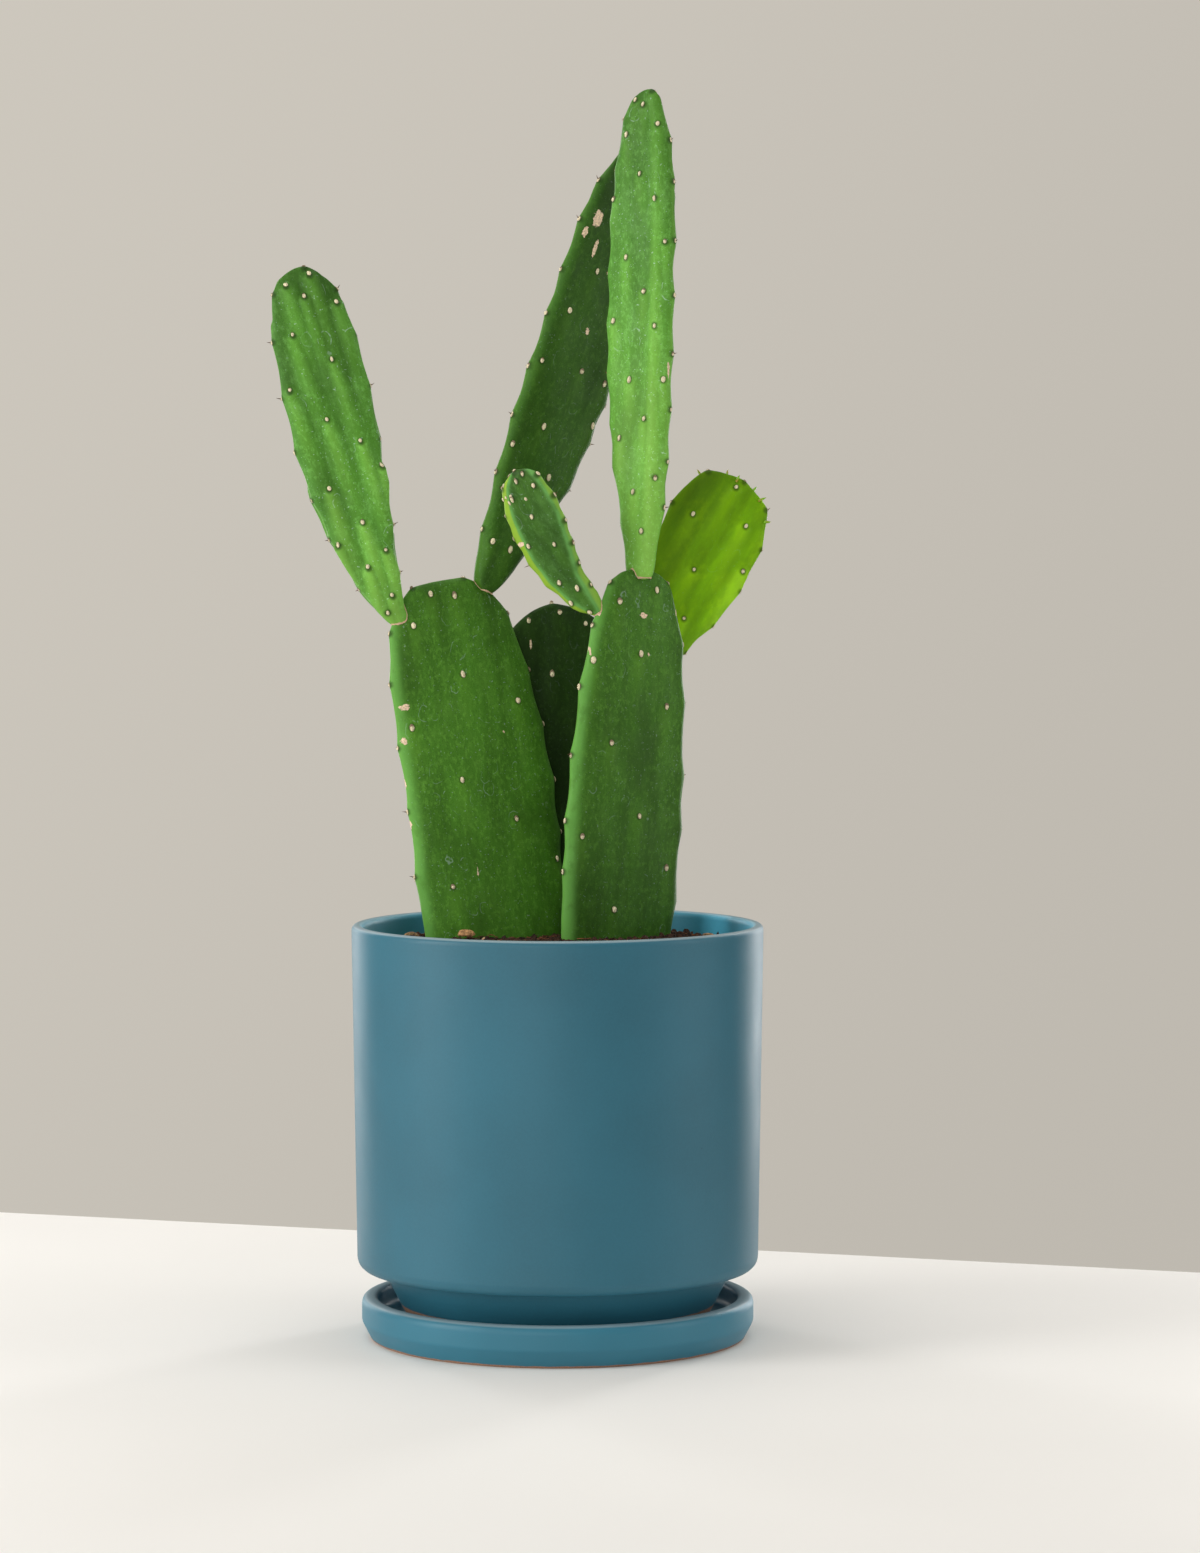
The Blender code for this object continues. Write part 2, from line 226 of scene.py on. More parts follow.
def uneven_roughness(tree, shader, mask, dull):
    """Joins a roughness that wanders with a plain dull one where the mask is full."""
    rough = add_node(tree, "ShaderNodeMix", {0: mask, 2: dull, 3: BARE_ROUGHNESS}).outputs[0]
    tree.links.new(rough, shader.inputs["Roughness"])


def bumped(tree, height, strength, distance, normal=None):
    inputs = {"Height": height, "Strength": strength, "Distance": distance}
    if normal is not None:
        inputs["Normal"] = normal
    return add_node(tree, "ShaderNodeBump", inputs).outputs["Normal"]


def inner_light(tree, place, height, lip, inner, glaze, colour):
    """Lightens the wall inside the rim, down to the soil, where light bounces from side to side."""
    level = stretched(tree, place, (1.0, 1.0, 0.0))
    radius = add_node(tree, "ShaderNodeVectorMath", {0: level}, operation="LENGTH").outputs["Value"]
    upper = between(tree, height, lip - 0.030, lip - 0.020)
    inside = scaled(tree, upper, between(tree, radius, inner, inner + 0.0012, 0.8, 0.0))
    return mixed(tree, inside, colour, rgba(glaze, 3.4))


def pinholes(tree, place):
    """Small dark pits, in a few places."""
    cells = add_node(tree, "ShaderNodeTexVoronoi", {"Vector": place, "Scale": 55.0}, feature="F1")
    pit = between(tree, cells.outputs["Distance"], 0.018, 0.030, 1.0, 0.0)
    return scaled(tree, pit, patches(tree, place, 22.0, 0.0, 0.56, 0.60))


def glaze_material(name, settings, clay_top, lip, inner, gain):
    """Satin glaze with a pale line at the lip, partly thinning glaze and partly painted highlight, that
    stops above bare clay at the foot.
    """
    glaze = settings.glaze
    material, tree, shader = new_material(name, settings.gloss_loss, Specular_IOR_Level=0.42)
    place = object_place(tree)
    height = add_node(tree, "ShaderNodeSeparateXYZ", {0: place}).outputs["Z"]
    pooling = patches(tree, place, 14.0, 3.0, 0.3, 0.7)
    # The gain is 1 for the pot; on the saucer it is painted light.
    colour = mixed(tree, pooling, rgba(glaze, 0.93 * gain), rgba(glaze, 1.07 * gain))
    colour = inner_light(tree, place, height, lip, inner, glaze, colour)
    grain = patches(tree, place, 900.0, 2.0, 0.35, 0.65, to_high=0.08)
    colour = mixed(tree, grain, colour, rgba(glaze, 1.5))
    colour = mixed(tree, pinholes(tree, place), colour, rgba(glaze, 0.25))
    # A pale line at the lip: partly thinning glaze, partly painted highlight.
    thin = between(tree, height, lip - 0.0012, lip - 0.0004, 0.0, 0.35)
    colour = mixed(tree, thin, colour, THIN_GLAZE_AND_HIGHLIGHT)
    edge = sums(tree, "ADD", height, wander(tree, place, 120.0, 3.0, 0.5, 0.0012))
    clay = between(tree, edge, clay_top, clay_top + 0.0004, 1.0, 0.0)
    grit = patches(tree, place, 1500.0, 2.0, 0.3, 0.7)
    bare = mixed(tree, grit, rgba(settings.clay, 0.75), rgba(settings.clay, 1.2))
    tree.links.new(mixed(tree, clay, colour, bare), shader.inputs["Base Color"])
    dull = sums(tree, "MULTIPLY_ADD", cloud(tree, place, 45.0, 3.0), 0.10)
    dull.node.inputs[2].default_value = settings.gloss_loss - 0.05
    uneven_roughness(tree, shader, clay, dull)
    ripple = bumped(tree, cloud(tree, place, 30.0, 1.0), 0.06, 0.002)
    fine = bumped(tree, cloud(tree, place, 1100.0, 2.0), 0.07, 0.0002, ripple)
    tree.links.new(fine, shader.inputs["Normal"])
    return material


def water_marks(tree, place, strength):
    """Dried drops: thin broken rings, each with its own size, that come in patches."""
    cells = {"Vector": stretched(tree, place, (1.0, 0.75, 0.3)), "Scale": 105.0}
    voronoi = add_node(tree, "ShaderNodeTexVoronoi", cells, feature="F1")
    own = add_node(tree, "ShaderNodeSeparateColor", {0: voronoi.outputs["Color"]}).outputs[0]
    warp = scaled(tree, cloud(tree, place, 260.0, 1.0), 0.22)
    off = sums(tree, "SUBTRACT", voronoi.outputs["Distance"], scaled(tree, own, 0.36))
    off = sums(tree, "ABSOLUTE", sums(tree, "SUBTRACT", off, warp))
    ring = between(tree, off, 0.005, 0.024, 1.0, 0.0)
    broken = patches(tree, place, 240.0, 2.0, 0.47, 0.60)
    patch = patches(tree, place, 34.0, 2.0, 0.42, 0.62, to_high=strength)
    return scaled(tree, scaled(tree, ring, broken), patch)


def tinted(green, gains):
    return tuple(channel * gain for channel, gain in zip(green, gains))


def skin_layers(tree, place, green, marks, warmth, bloom, mottle):
    """The pad's colours from the lowest up, each with its mask; the tone with its painted light and shade
    multiplies and has none.
    """
    flat = stretched(tree, place, (1.0, 0.6, 0.6))
    drawn = stretched(tree, place, (1.0, 0.4, 0.6))
    tone = attribute(tree, "tone")
    edge = attribute(tree, "edge")
    bright = tinted(green, bloom)
    rim_green = rgba(tinted(green, (2.2, 1.8, 1.8)))
    blotch = patches(tree, flat, 115.0, 4.0, 0.46, 0.70, rough=0.65)
    # Painted highlight: a lighter bluish strip along the lit edges, broken by the blotches.
    lit_strip = scaled(tree, between(tree, edge, 0.0, 1.0), between(tree, blotch, 0.0, 1.0, 0.80, 0.50))
    return (
        (scaled(tree, blotch, warmth), rgba(bright)),
        (patches(tree, flat, 520.0, 3.0, 0.48, 0.66, 0.0, mottle, 0.7), rgba(bright, 1.2)),
        (patches(tree, drawn, 42.0, 4.0, 0.45, 0.68, 0.0, 0.60, 0.6), rgba(green, 0.48)),
        (patches(tree, place, 1500.0, 2.0, 0.52, 0.66, 0.0, mottle * 0.7, 0.6), rgba(green, 0.40)),
        (between(tree, attribute(tree, "rim"), 0.15, 1.0, 0.0, 0.5), rim_green),
        # Painted highlight: lighter green on the ridges.
        (between(tree, attribute(tree, "ridge"), 0.1, 1.0, 0.0, 0.20), rim_green),
        (water_marks(tree, place, marks), FROST),
        (patches(tree, place, 950.0, 1.0, 0.70, 0.75, to_high=marks), FROST),
        # The tone multiplies: partly each pad's own green, partly painted light and shade.
        (None, tone),
        # Painted light: paler green where the tone is raised most, at the feet of the brightest pads.
        (between(tree, tone, 1.2, 2.6, 0.0, 0.6), PAINTED_LIGHT_GREEN),
        (lit_strip, rgba(tinted(green, (2.3, 2.0, 4.4)))),
        # Partly the small pad's own paler rim, partly painted highlight, where the lit strip is strongest.
        (between(tree, edge, 1.1, 2.0, 0.0, 0.8), PALE_RIM_AND_SHEEN),
        (between(tree, attribute(tree, "halo"), 0.30, 0.9, 0.0, 0.85), rgba(green, 0.25)),
    )


def pad_material(name, green, settings, *finish):
    """Skin with streaks, mottling, flecks, dried drops, halos round areoles and corky scars, with painted
    light and shade on its ridges, edges and tone.
    """
    material, tree, shader = new_material(
        name, settings.roughness, Specular_IOR_Level=0.14, Subsurface_Weight=0.06,
        Subsurface_Radius=(0.3, 0.6, 0.1), Subsurface_Scale=0.004,
    )
    place = attribute(tree, "pad_place", "Vector")
    streak_at = stretched(tree, place, (150.0, 16.0, 60.0))
    streaks = patches(tree, streak_at, 1.0, 4.0, 0.30, 0.70, rough=0.6)
    colour = mixed(tree, streaks, rgba(green, 0.84), rgba(green, 1.14))
    for mask, over in skin_layers(tree, place, green, *finish):
        if mask is None:
            colour = mixed(tree, 1.0, colour, over, "MULTIPLY")
        else:
            colour = mixed(tree, mask, colour, over)
    broken = wander(tree, place, 430.0, 4.0, 0.65, 2.0)
    scar = between(tree, sums(tree, "ADD", attribute(tree, "scar"), broken), 0.02, 0.16)
    cork_grain = patches(tree, place, 1200.0, 3.0, 0.3, 0.7)
    cork = mixed(tree, cork_grain, rgba(settings.cork, 0.8), rgba(settings.cork, 1.35))
    tree.links.new(mixed(tree, scar, colour, cork), shader.inputs["Base Color"])
    low, high = settings.roughness - 0.06, settings.roughness + 0.08
    uneven_roughness(tree, shader, scar, patches(tree, place, 130.0, 3.0, 0.3, 0.7, low, high))
    dent_at = stretched(tree, place, (230.0, 30.0, 80.0))
    dents = bumped(tree, cloud(tree, dent_at, 1.0, 3.0), 0.22, 0.0008)
    pores = bumped(tree, cloud(tree, place, 1300.0, 2.0), 0.16, 0.0003, dents)
    tree.links.new(bumped(tree, scar, 0.5, 0.0003, pores), shader.inputs["Normal"])
    return material


def felt_material(settings):
    """Areole felt: cream on top, dark brown round its foot and in some areoles."""
    material, tree, shader = new_material("areole_felt", 0.9, Specular_IOR_Level=0.2)
    place = object_place(tree)
    tuft = patches(tree, place, 2600.0, 2.0, 0.3, 0.7)
    felt = mixed(tree, tuft, rgba(settings.felt, 0.75), rgba(settings.felt, 1.25))
    colour = mixed(tree, attribute(tree, "dark"), felt, AREOLE_BROWN)
    tree.links.new(colour, shader.inputs["Base Color"])
    tree.links.new(bumped(tree, tuft, 0.6, 0.0003), shader.inputs["Normal"])
    return material


def rough_material(name, colour, dark, scale, roughness=0.85, bump=0.6):
    """A grainy natural finish, with each loose bit's own shade where it has one."""
    material, tree, shader = new_material(name, roughness, Specular_IOR_Level=0.3)
    place = object_place(tree)
    grain = patches(tree, place, scale, 4.0, 0.32, 0.68, rough=0.6)
    result = mixed(tree, grain, rgba(dark), rgba(colour))
    own = mixed(tree, attribute(tree, "shade"), (0.8, 0.8, 0.8, 1.0), (2.3, 1.8, 1.5, 1.0))
    result = mixed(tree, 1.0, result, own, "MULTIPLY")
    tree.links.new(result, shader.inputs["Base Color"])
    tree.links.new(bumped(tree, grain, bump, 0.0006), shader.inputs["Normal"])
    return material


def leaf_material(settings):
    material, tree, shader = new_material(
        "young_leaf_skin", 0.4, Subsurface_Weight=0.15,
        Subsurface_Radius=(0.6, 0.8, 0.2), Subsurface_Scale=0.002,
    )
    place = object_place(tree)
    patch = patches(tree, place, 420.0, 2.0, 0.4, 0.62)
    colour = mixed(tree, patch, rgba(settings.young_green, 1.3), LEAF_RUST)
    tree.links.new(colour, shader.inputs["Base Color"])
    tree.links.new(bumped(tree, cloud(tree, place, 1500.0), 0.2, 0.0002), shader.inputs["Normal"])
    return material


# ---------------------------------------------------------------- meshes


def finish_piece(obj, material, replaced=()):
    """Shades a piece smooth, gives it its material, and sets it on the one body."""
    obj.data.materials.clear()
    obj.data.materials.append(material)
    for polygon in obj.data.polygons:
        polygon.use_smooth = True
    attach(obj, "root")
    if replaced:
        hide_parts(*replaced)
    return obj


def placed(name, data):
    obj = bpy.data.objects.new(name, data)
    bpy.context.scene.collection.objects.link(obj)
    return obj


def object_of(name, shape):
    """Turns a bmesh into an object, and frees it."""
    mesh = bpy.data.meshes.new(name)
    shape.to_mesh(mesh)
    shape.free()
    return placed(name, mesh)


def object_from(name, points, faces):
    mesh = bpy.data.meshes.new(name)
    mesh.from_pydata([tuple(point) for point in points], [], [tuple(face) for face in faces])
    mesh.validate()
    mesh.update()
    return placed(name, mesh)


def welded(node):
    """The node's triangles as a bmesh without doubled corners."""
    shape = bmesh.new()
    shape.from_mesh(NODES[node].data)
    bmesh.ops.remove_doubles(shape, verts=shape.verts, dist=1e-5)
    return shape


def vertex_values(mesh, key):
    flat = np.empty(len(mesh.vertices) * 3)
    mesh.vertices.foreach_get(key, flat)
    return flat.reshape(-1, 3)


def points_of(mesh):
    return vertex_values(mesh, "co")


def normals_of(mesh):
    return vertex_values(mesh, "normal")


def evaluated(obj):
    bpy.context.view_layer.update()
    return obj.evaluated_get(bpy.context.evaluated_depsgraph_get())


def set_points(mesh, points):
    mesh.vertices.foreach_set("co", points.ravel())
    mesh.update()


def store(mesh, name, values):
    """Keeps one number, or one vector, for each vertex."""
    kind, key = ("FLOAT_VECTOR", "vector") if values.ndim == 2 else ("FLOAT", "value")
    layer = mesh.attributes.new(name, kind, "POINT")
    layer.data.foreach_set(key, values.astype(np.float32).ravel())


def refined(node, name, levels, relax=0):
    """A finer, smoother copy of a CAD node, which still passes through the node's own corners."""
    shape = welded(node)
    limits = dict.fromkeys(("angle_face_threshold", "angle_shape_threshold"), QUAD_LIMIT)
    bmesh.ops.join_triangles(shape, faces=shape.faces, **limits)
    obj = object_of(name, shape)
    finer = obj.modifiers.new("Finer", "SUBSURF")
    finer.levels = 1
    corners = points_of(obj.data)
    cage = corners.copy()
    for _ in range(CAGE_STEPS):
        drawn_in = points_of(evaluated(obj).data)[:len(corners)]
        cage += 0.9 * (corners - drawn_in)
        set_points(obj.data, cage)
        obj.update_tag()
    finer.levels = levels
    if relax:
        even = obj.modifiers.new("Even", "SMOOTH")
        even.factor = 0.5
        even.iterations = relax
    obj.data = bpy.data.meshes.new_from_object(evaluated(obj))
    obj.modifiers.clear()
    return obj


def meridian(node):
    """The (radius, height) points of a turned node's outline, in order round it."""
    shape = welded(node)
    flat = [v for v in shape.verts if abs(v.co.y) < ON_AXIS and v.co.x > -ON_AXIS]
    inside = set(flat)
    ends = [v for v in flat if v.co.x < ON_AXIS]
    start = min(ends or flat, key=lambda v: (v.co.z, v.co.x))
    chain = [start]
    while True:
        near = [e.other_vert(chain[-1]) for e in chain[-1].link_edges]
        fresh = [v for v in near if v in inside and v not in chain]
        if not fresh:
            break
        chain.append(max(fresh, key=lambda v: v.co.x) if len(chain) == 1 else fresh[0])
    outline = [(max(0.0, v.co.x), v.co.z) for v in chain]
    ring = any(e.other_vert(chain[-1]) is chain[0] for e in chain[-1].link_edges)
    shape.free()
    if not ring and not ends:
        outline = [(0.0, outline[0][1])] + outline + [(0.0, outline[-1][1])]
    return outline, ring


def softened(outline, closed, cut=0.0005):
    """Rounds each corner a little, and holds the flats beside it straight."""
    points = [Vector(p) for p in outline]
    count = len(points)
    rounded = []
    for i, here in enumerate(points):
        if not closed and i in (0, count - 1):
            rounded.append(here)
            continue
        before = points[i - 1] - here
        after = points[(i + 1) % count] - here
        for arm in (before, after):
            rounded.append(here + arm.normalized() * min(0.25 * arm.length, cut))
    held = []
    for i, here in enumerate(rounded):
        held.append(here)
        if not closed and i == len(rounded) - 1:
            break
        arm = rounded[(i + 1) % len(rounded)] - here
        if arm.length > 0.003:
            held += [here + arm.normalized() * 0.0004, here + arm - arm.normalized() * 0.0004]
    return [tuple(p) for p in held]


def polar(radius, turn, height):
    return (radius * math.cos(turn), radius * math.sin(turn), height)


def ring_faces(first, second, sides):
    """The quads between two rings of points, given the number of each ring's first point."""
    pairs = [(j, (j + 1) % sides) for j in range(sides)]
    return [(first + j, second + j, second + k, first + k) for j, k in pairs]


def lathe(name, outline, closed, wobble):
    """Turns an outline round the Z axis, with a hand-made unevenness of wobble metres."""
    count = len(outline)
    angles = [2 * math.pi * i / TURN_STEPS for i in range(TURN_STEPS)]
    shape = bmesh.new()
    columns = []
    poles = {}
    for angle in angles:
        column = []
        for i, (radius, height) in enumerate(outline):
            if radius < 1e-6:
                if i not in poles:
                    poles[i] = shape.verts.new((0.0, 0.0, height))
                column.append(poles[i])
                continue
            point = Vector((math.cos(angle) * 3.0, math.sin(angle) * 3.0, height * 30.0))
            column.append(shape.verts.new(polar(radius + wobble * noise.noise(point), angle, height)))
        columns.append(column)
    for i, left in enumerate(columns):
        right = columns[(i + 1) % TURN_STEPS]
        for j in range(count if closed else count - 1):
            k = (j + 1) % count
            corners = [left[j], right[j], right[k], left[k]]
            unique = list(dict.fromkeys(corners))
            if len(unique) > 2:
                shape.faces.new(unique)
    bmesh.ops.recalc_face_normals(shape, faces=shape.faces)
    return object_of(name, shape)


def drawn_vector(generator, low, high):
    return Vector([generator.uniform(low, high) for _ in range(3)])


class Heap:
    """Small shapes gathered into one mesh, each with a number of its own."""

    def __init__(self):
        self.points = []
        self.faces = []
        self.values = []

    def add(self, points, faces, values):
        first = sum(len(group) for group in self.points)
        self.points.append(np.asarray(points, float))
        self.faces += [tuple(first + corner for corner in face) for face in faces]
        self.values.append(np.broadcast_to(values, len(points)))

    def build(self, name, value_name):
        obj = object_from(name, np.concatenate(self.points), self.faces)
        store(obj.data, value_name, np.concatenate(self.values))
        return obj


def ball(rings, sides):
    """A unit ball of quads and triangles: its points and faces."""
    points = [(0.0, 0.0, 1.0)]
    for i in range(1, rings):
        lean = math.pi * i / rings
        for j in range(sides):
            points.append(polar(math.sin(lean), 2 * math.pi * j / sides, math.cos(lean)))
    points.append((0.0, 0.0, -1.0))
    last = len(points) - 1
    faces = [(0, 1 + j, 1 + (j + 1) % sides) for j in range(sides)]
    for i in range(rings - 2):
        faces += ring_faces(1 + i * sides, 1 + (i + 1) * sides, sides)
    foot = last - sides
    faces += [(foot + (j + 1) % sides, foot + j, last) for j in range(sides)]
    return np.array(points), faces


def tube(path, radii, sides):
    """A closed tube along a path, pointed where its radius is small."""
    path = [Vector(p) for p in path]
    points = []
    faces = []
    for i, (here, radius) in enumerate(zip(path, radii)):
        ahead = (path[min(i + 1, len(path) - 1)] - path[max(i - 1, 0)]).normalized()
        side = ahead.orthogonal().normalized()
        other = ahead.cross(side)
        for j in range(sides):
            turn = 2 * math.pi * j / sides
            points.append(here + (side * math.cos(turn) + other * math.sin(turn)) * radius)
    for i in range(len(path) - 1):
        quads = ring_faces(i * sides, (i + 1) * sides, sides)
        faces += [(a, d, c, b) for a, b, c, d in quads]
    faces.append(tuple(range(sides))[::-1])
    faces.append(tuple(range(len(points) - sides, len(points))))
    return points, faces


# ---------------------------------------------------------------- pads


class PadLook(NamedTuple):
    """What one pad's skin shows. Places are (across, along) in hundredths of the pad."""

    green: str
    areoles: tuple
    ridge: float = 0.0004
    ridge_length: float = 0.022
    lean: float = 0.0
    scars: tuple = ()
    rim_step: float = 0.026
    pale: float = 0.0
    outline: tuple = ((0, 0, 0), (100, 0, 0))
    lift: float = 0.0
    drop: float = 0.0
    tones_and_shade: tuple = (1.0, 1.0, 0.0)
    # How strong the painted highlight strip along the edges is.
    edge_light: float = 1.0
    crest: float = None


# Scars are (across, along, half width, half length), the last two in millimetres.
# Outlines are (along, left, right), the millimetres that each edge stands outside the plain oval.
# Tones and shade are the level at the foot, the level at the tip, and how much lighter the right side is:
# partly each pad's own green, partly painted light and shade.
PADS = {
    "left_base_pad": PadLook(
        "old",
        ((-64, 90), (-1, 77), (69, 69), (-28, 52), (38, 41), (90, 30), (-59, 27), (-34, 97), (13, 96),
         (-83, 66)),
        scars=((-89, 71, 2.8, 1.7), (-94, 63, 1.4, 2.1), (-24, 30, 0.5, 4.2), (-100, 53, 0.4, 2.5),
               (-100, 43, 0.4, 2.2), (40, 62, 0.5, 0.5), (-70, 62, 0.5, 0.7), (-12, 39, 0.5, 0.4)),
        rim_step=0.030, lift=0.0007, tones_and_shade=(1.22, 0.92, 0.0),
        outline=((0, 0, 0), (30, -1, 0), (45, -1.5, 0), (62, 0, 0), (76, 2, 0), (88, 5, 1.5),
                 (96, 7, 3.5), (100, 7, 3)),
    ),
    "right_base_pad": PadLook(
        "old",
        ((-60, 92), (38, 95), (-2, 80), (55, 68), (-45, 59), (12, 42), (-83, 37), (68, 30), (-24, 20),
         (-90, 78)),
        scars=((3, 89, 2.2, 1.5), (90, 90, 0.6, 2.4), (-94, 89, 0.7, 1.6), (-96, 80, 0.4, 2.2),
               (20, 55, 0.5, 0.5), (-40, 36, 0.6, 0.5), (15, 80, 0.5, 0.5)),
        rim_step=0.030, lift=0.0023, tones_and_shade=(0.64, 0.82, 0.0),
        outline=((0, 0, 0), (70, 0, 0), (85, 0, 1), (95, 0.5, 1.5), (100, 0, 0)),
    ),
    "rear_base_pad": PadLook(
        "old",
        ((-66, 96), (1, 98), (-14, 82), (55, 95), (45, 66), (-40, 62), (10, 45)),
        scars=((-52, 90, 0.6, 3.4),),
        # The rear pad's low tone is a painted shadow cast by the pads in front.
        rim_step=0.030, tones_and_shade=(0.14, 0.22, 0.0), edge_light=0.2,
    ),
    "left_arm_pad": PadLook(
        "grown",
        ((42, 97), (-45, 96), (4, 92), (80, 88), (-47, 83), (31, 74), (-80, 69), (-13, 59), (52, 51),
         (90, 43), (-51, 41), (10, 30), (-79, 26), (60, 21), (-19, 18), (38, 9), (-22, 5)),
        ridge=0.0023, ridge_length=0.046, lean=0.02, rim_step=0.024, drop=0.002,
        tones_and_shade=(1.75, 0.92, 0.0), edge_light=0.3,
        outline=((0, 0, 0), (12, -2.5, -2), (30, -1.5, -2), (50, 0, -0.8), (85, 0, 1.5), (95, 0, 1.5),
                 (100, 0, 0)),
    ),
    "tall_rear_pad": PadLook(
        "old",
        ((-63, 60), (-86, 48), (10, 50), (74, 50), (-33, 36), (83, 41), (-88, 30), (-70, 10), (3, 10),
         (23, 27), (-30, 70), (40, 66), (10, 84), (-20, 94)),
        scars=((-70, 80, 2.8, 4.6), (-86, 76, 1.3, 2.6), (-52, 74, 1.1, 4.6), (-8, 58, 1.9, 1.6)),
        outline=((0, 0, -6), (8, -2.5, -6.5), (18, -3, -4), (30, -1.5, -0.5), (50, 0, 0), (62, 2, 0),
                 (75, 5, 0), (85, 6.5, 0), (93, 6, 1), (100, 4, 0)),
        tones_and_shade=(0.60, 0.42, 0.0), edge_light=0.35,
    ),
    "tall_front_pad": PadLook(
        "grown",
        ((-44, 98), (4, 97), (67, 93), (-57, 91), (4, 83), (-88, 78), (57, 78), (86, 69), (-31, 66),
         (27, 59), (-69, 53), (63, 52), (-14, 41), (88, 41), (36, 33), (-51, 29), (77, 21), (-5, 18),
         (31, 10)),
        ridge=0.0008, scars=((97, 43, 0.3, 5.0),), rim_step=0.024, drop=0.0045,
        tones_and_shade=(2.25, 0.80, 0.0), edge_light=0.3, crest=62,
        outline=((0, 0, 0), (12, -1.5, 0), (25, 0, 0), (100, 0, 0)),
    ),
    "small_front_pad": PadLook(
        "grown",
        ((48, 97), (4, 95), (67, 88), (-42, 87), (6, 72), (-54, 57), (47, 51), (-10, 29), (55, 21),
         (-45, 15), (-5, 5)),
        ridge=0.0008, ridge_length=0.018, scars=((-82, 60, 2.6, 1.3),), rim_step=0.013, pale=1.0,
        drop=0.002, tones_and_shade=(0.64, 0.55, 0.0), edge_light=2.4,
        outline=((0, -1, -3), (15, 0.5, -6.5), (30, 3, -8), (50, 4, -5), (70, 4, -2), (90, 3, -1),
                 (100, 1, 0)),
    ),
    "young_right_pad": PadLook(
        "young",
        ((-56, 77), (51, 84), (-3, 57), (85, 67), (33, 37), (-4, 96), (-40, 33), (5, 16)),
        ridge=0.0011, ridge_length=0.036, rim_step=0.022,
        outline=((0, 0, 0), (12, 0, -4.5), (30, 0, -4), (50, 0, -0.5), (70, 1, 1.5), (85, 2, 2),
                 (95, 2, 2), (100, 0, 0)),
        lift=0.003, drop=0.002, tones_and_shade=(1.15, 1.0, 0.5), edge_light=0.3,
    ),
}
PARENTS = {
    "left_arm_pad": "left_base_pad",
    "tall_rear_pad": "left_base_pad",
    "tall_front_pad": "right_base_pad",
    "small_front_pad": "right_base_pad",
    "young_right_pad": "rear_base_pad",
}
# Share of water marks, warmth of the blotches, how much lighter they are in each channel, mottling.
SKIN_FINISHES = {
    "old": (0.34, 0.45, (1.7, 1.45, 2.0), 0.62),
    "grown": (0.42, 0.50, (1.8, 1.5, 2.8), 0.55),
    "young": (0.03, 0.50, (1.7, 1.4, 0.9), 0.10),
}
AREOLE_SIZES = {"old": 1.0, "grown": 0.84, "young": 0.72}
TIP_AREOLES = 15
COLLAR_SIDES = 44
COLLAR_ROUND = 8
HALO_REACH = 0.0024
CORNER_REACH = 0.008
# Painted light and shade on the ridges, and the plain tone that the pads' backs move towards.
RIDGE_SHADE = 210.0
BACK_TONE = 0.8
# The pads' textures are read this many metres apart, so no two pads match.
PLACE_STEP = 3.0


def smooth_step(value, low, high):
    share = np.clip((value - low) / (high - low), 0.0, 1.0)
    return share * share * (3.0 - 2.0 * share)


class PadShape:
    """A pad's own directions and outline, read from its mesh: along it, across it, and out of its front."""

    def __init__(self, cad_points, points):
        self.centre = cad_points.mean(0)
        _, _, axes = np.linalg.svd(cad_points - self.centre, full_matrices=False)
        self.along = axes[0] * (1.0 if axes[0][2] > 0 else -1.0)
        self.facing = axes[2] * (1.0 if axes[2][1] < 0 else -1.0)
        self.across = np.cross(self.along, self.facing)
        across, along, facing = self.local(points)
        self.low = along.min()
        self.high = along.max()
        self.levels = np.linspace(self.low, self.high, SLICES)
        reach = 1.5 * (self.high - self.low) / SLICES
        self.left = np.empty(SLICES)
        self.right = np.empty(SLICES)
        self.middle = np.empty(SLICES)
        for i, level in enumerate(self.levels):
            near = np.abs(along - level) < reach
            self.left[i] = across[near].min()
            self.right[i] = across[near].max()
            self.middle[i] = 0.5 * (facing[near].min() + facing[near].max())

    def local(self, points):
        offset = points - self.centre
        return offset @ self.across, offset @ self.along, offset @ self.facing

    def world(self, across, along, facing):
        return Vector(self.centre + self.across * across + self.along * along + self.facing * facing)

    def section(self, along):
        """The left edge, right edge and mid-plane at a level along the pad."""
        return [np.interp(along, self.levels, side) for side in (self.left, self.right, self.middle)]

    def spot(self, across_share, along_share):
        """A place on the face in metres: (across, along, the mid-plane's depth there)."""
        along = self.low + along_share * (self.high - self.low)
        left, right, middle = self.section(along)
        return 0.5 * (left + right) + across_share * 0.5 * (right - left), along, middle

    def rim_spots(self, step, generator):
        """Places round the outline, step metres apart, from the left foot over the tip to the right."""
        inner = slice(2, SLICES - 1)
        line = [(w, s) for w, s in zip(self.left[inner], self.levels[inner])]
        line += [(w, s) for w, s in zip(self.right[inner][::-1], self.levels[inner][::-1])]
        line = np.array(line)
        gaps = np.linalg.norm(np.diff(line, axis=0), axis=1)
        travelled = np.concatenate([[0.0], np.cumsum(gaps)])
        spots = []
        at = step * 0.8
        while at < travelled[-1] - 0.5 * step:
            spots.append((np.interp(at, travelled, line[:, 0]), np.interp(at, travelled, line[:, 1])))
            at += step * generator.uniform(0.8, 1.2)
        return spots


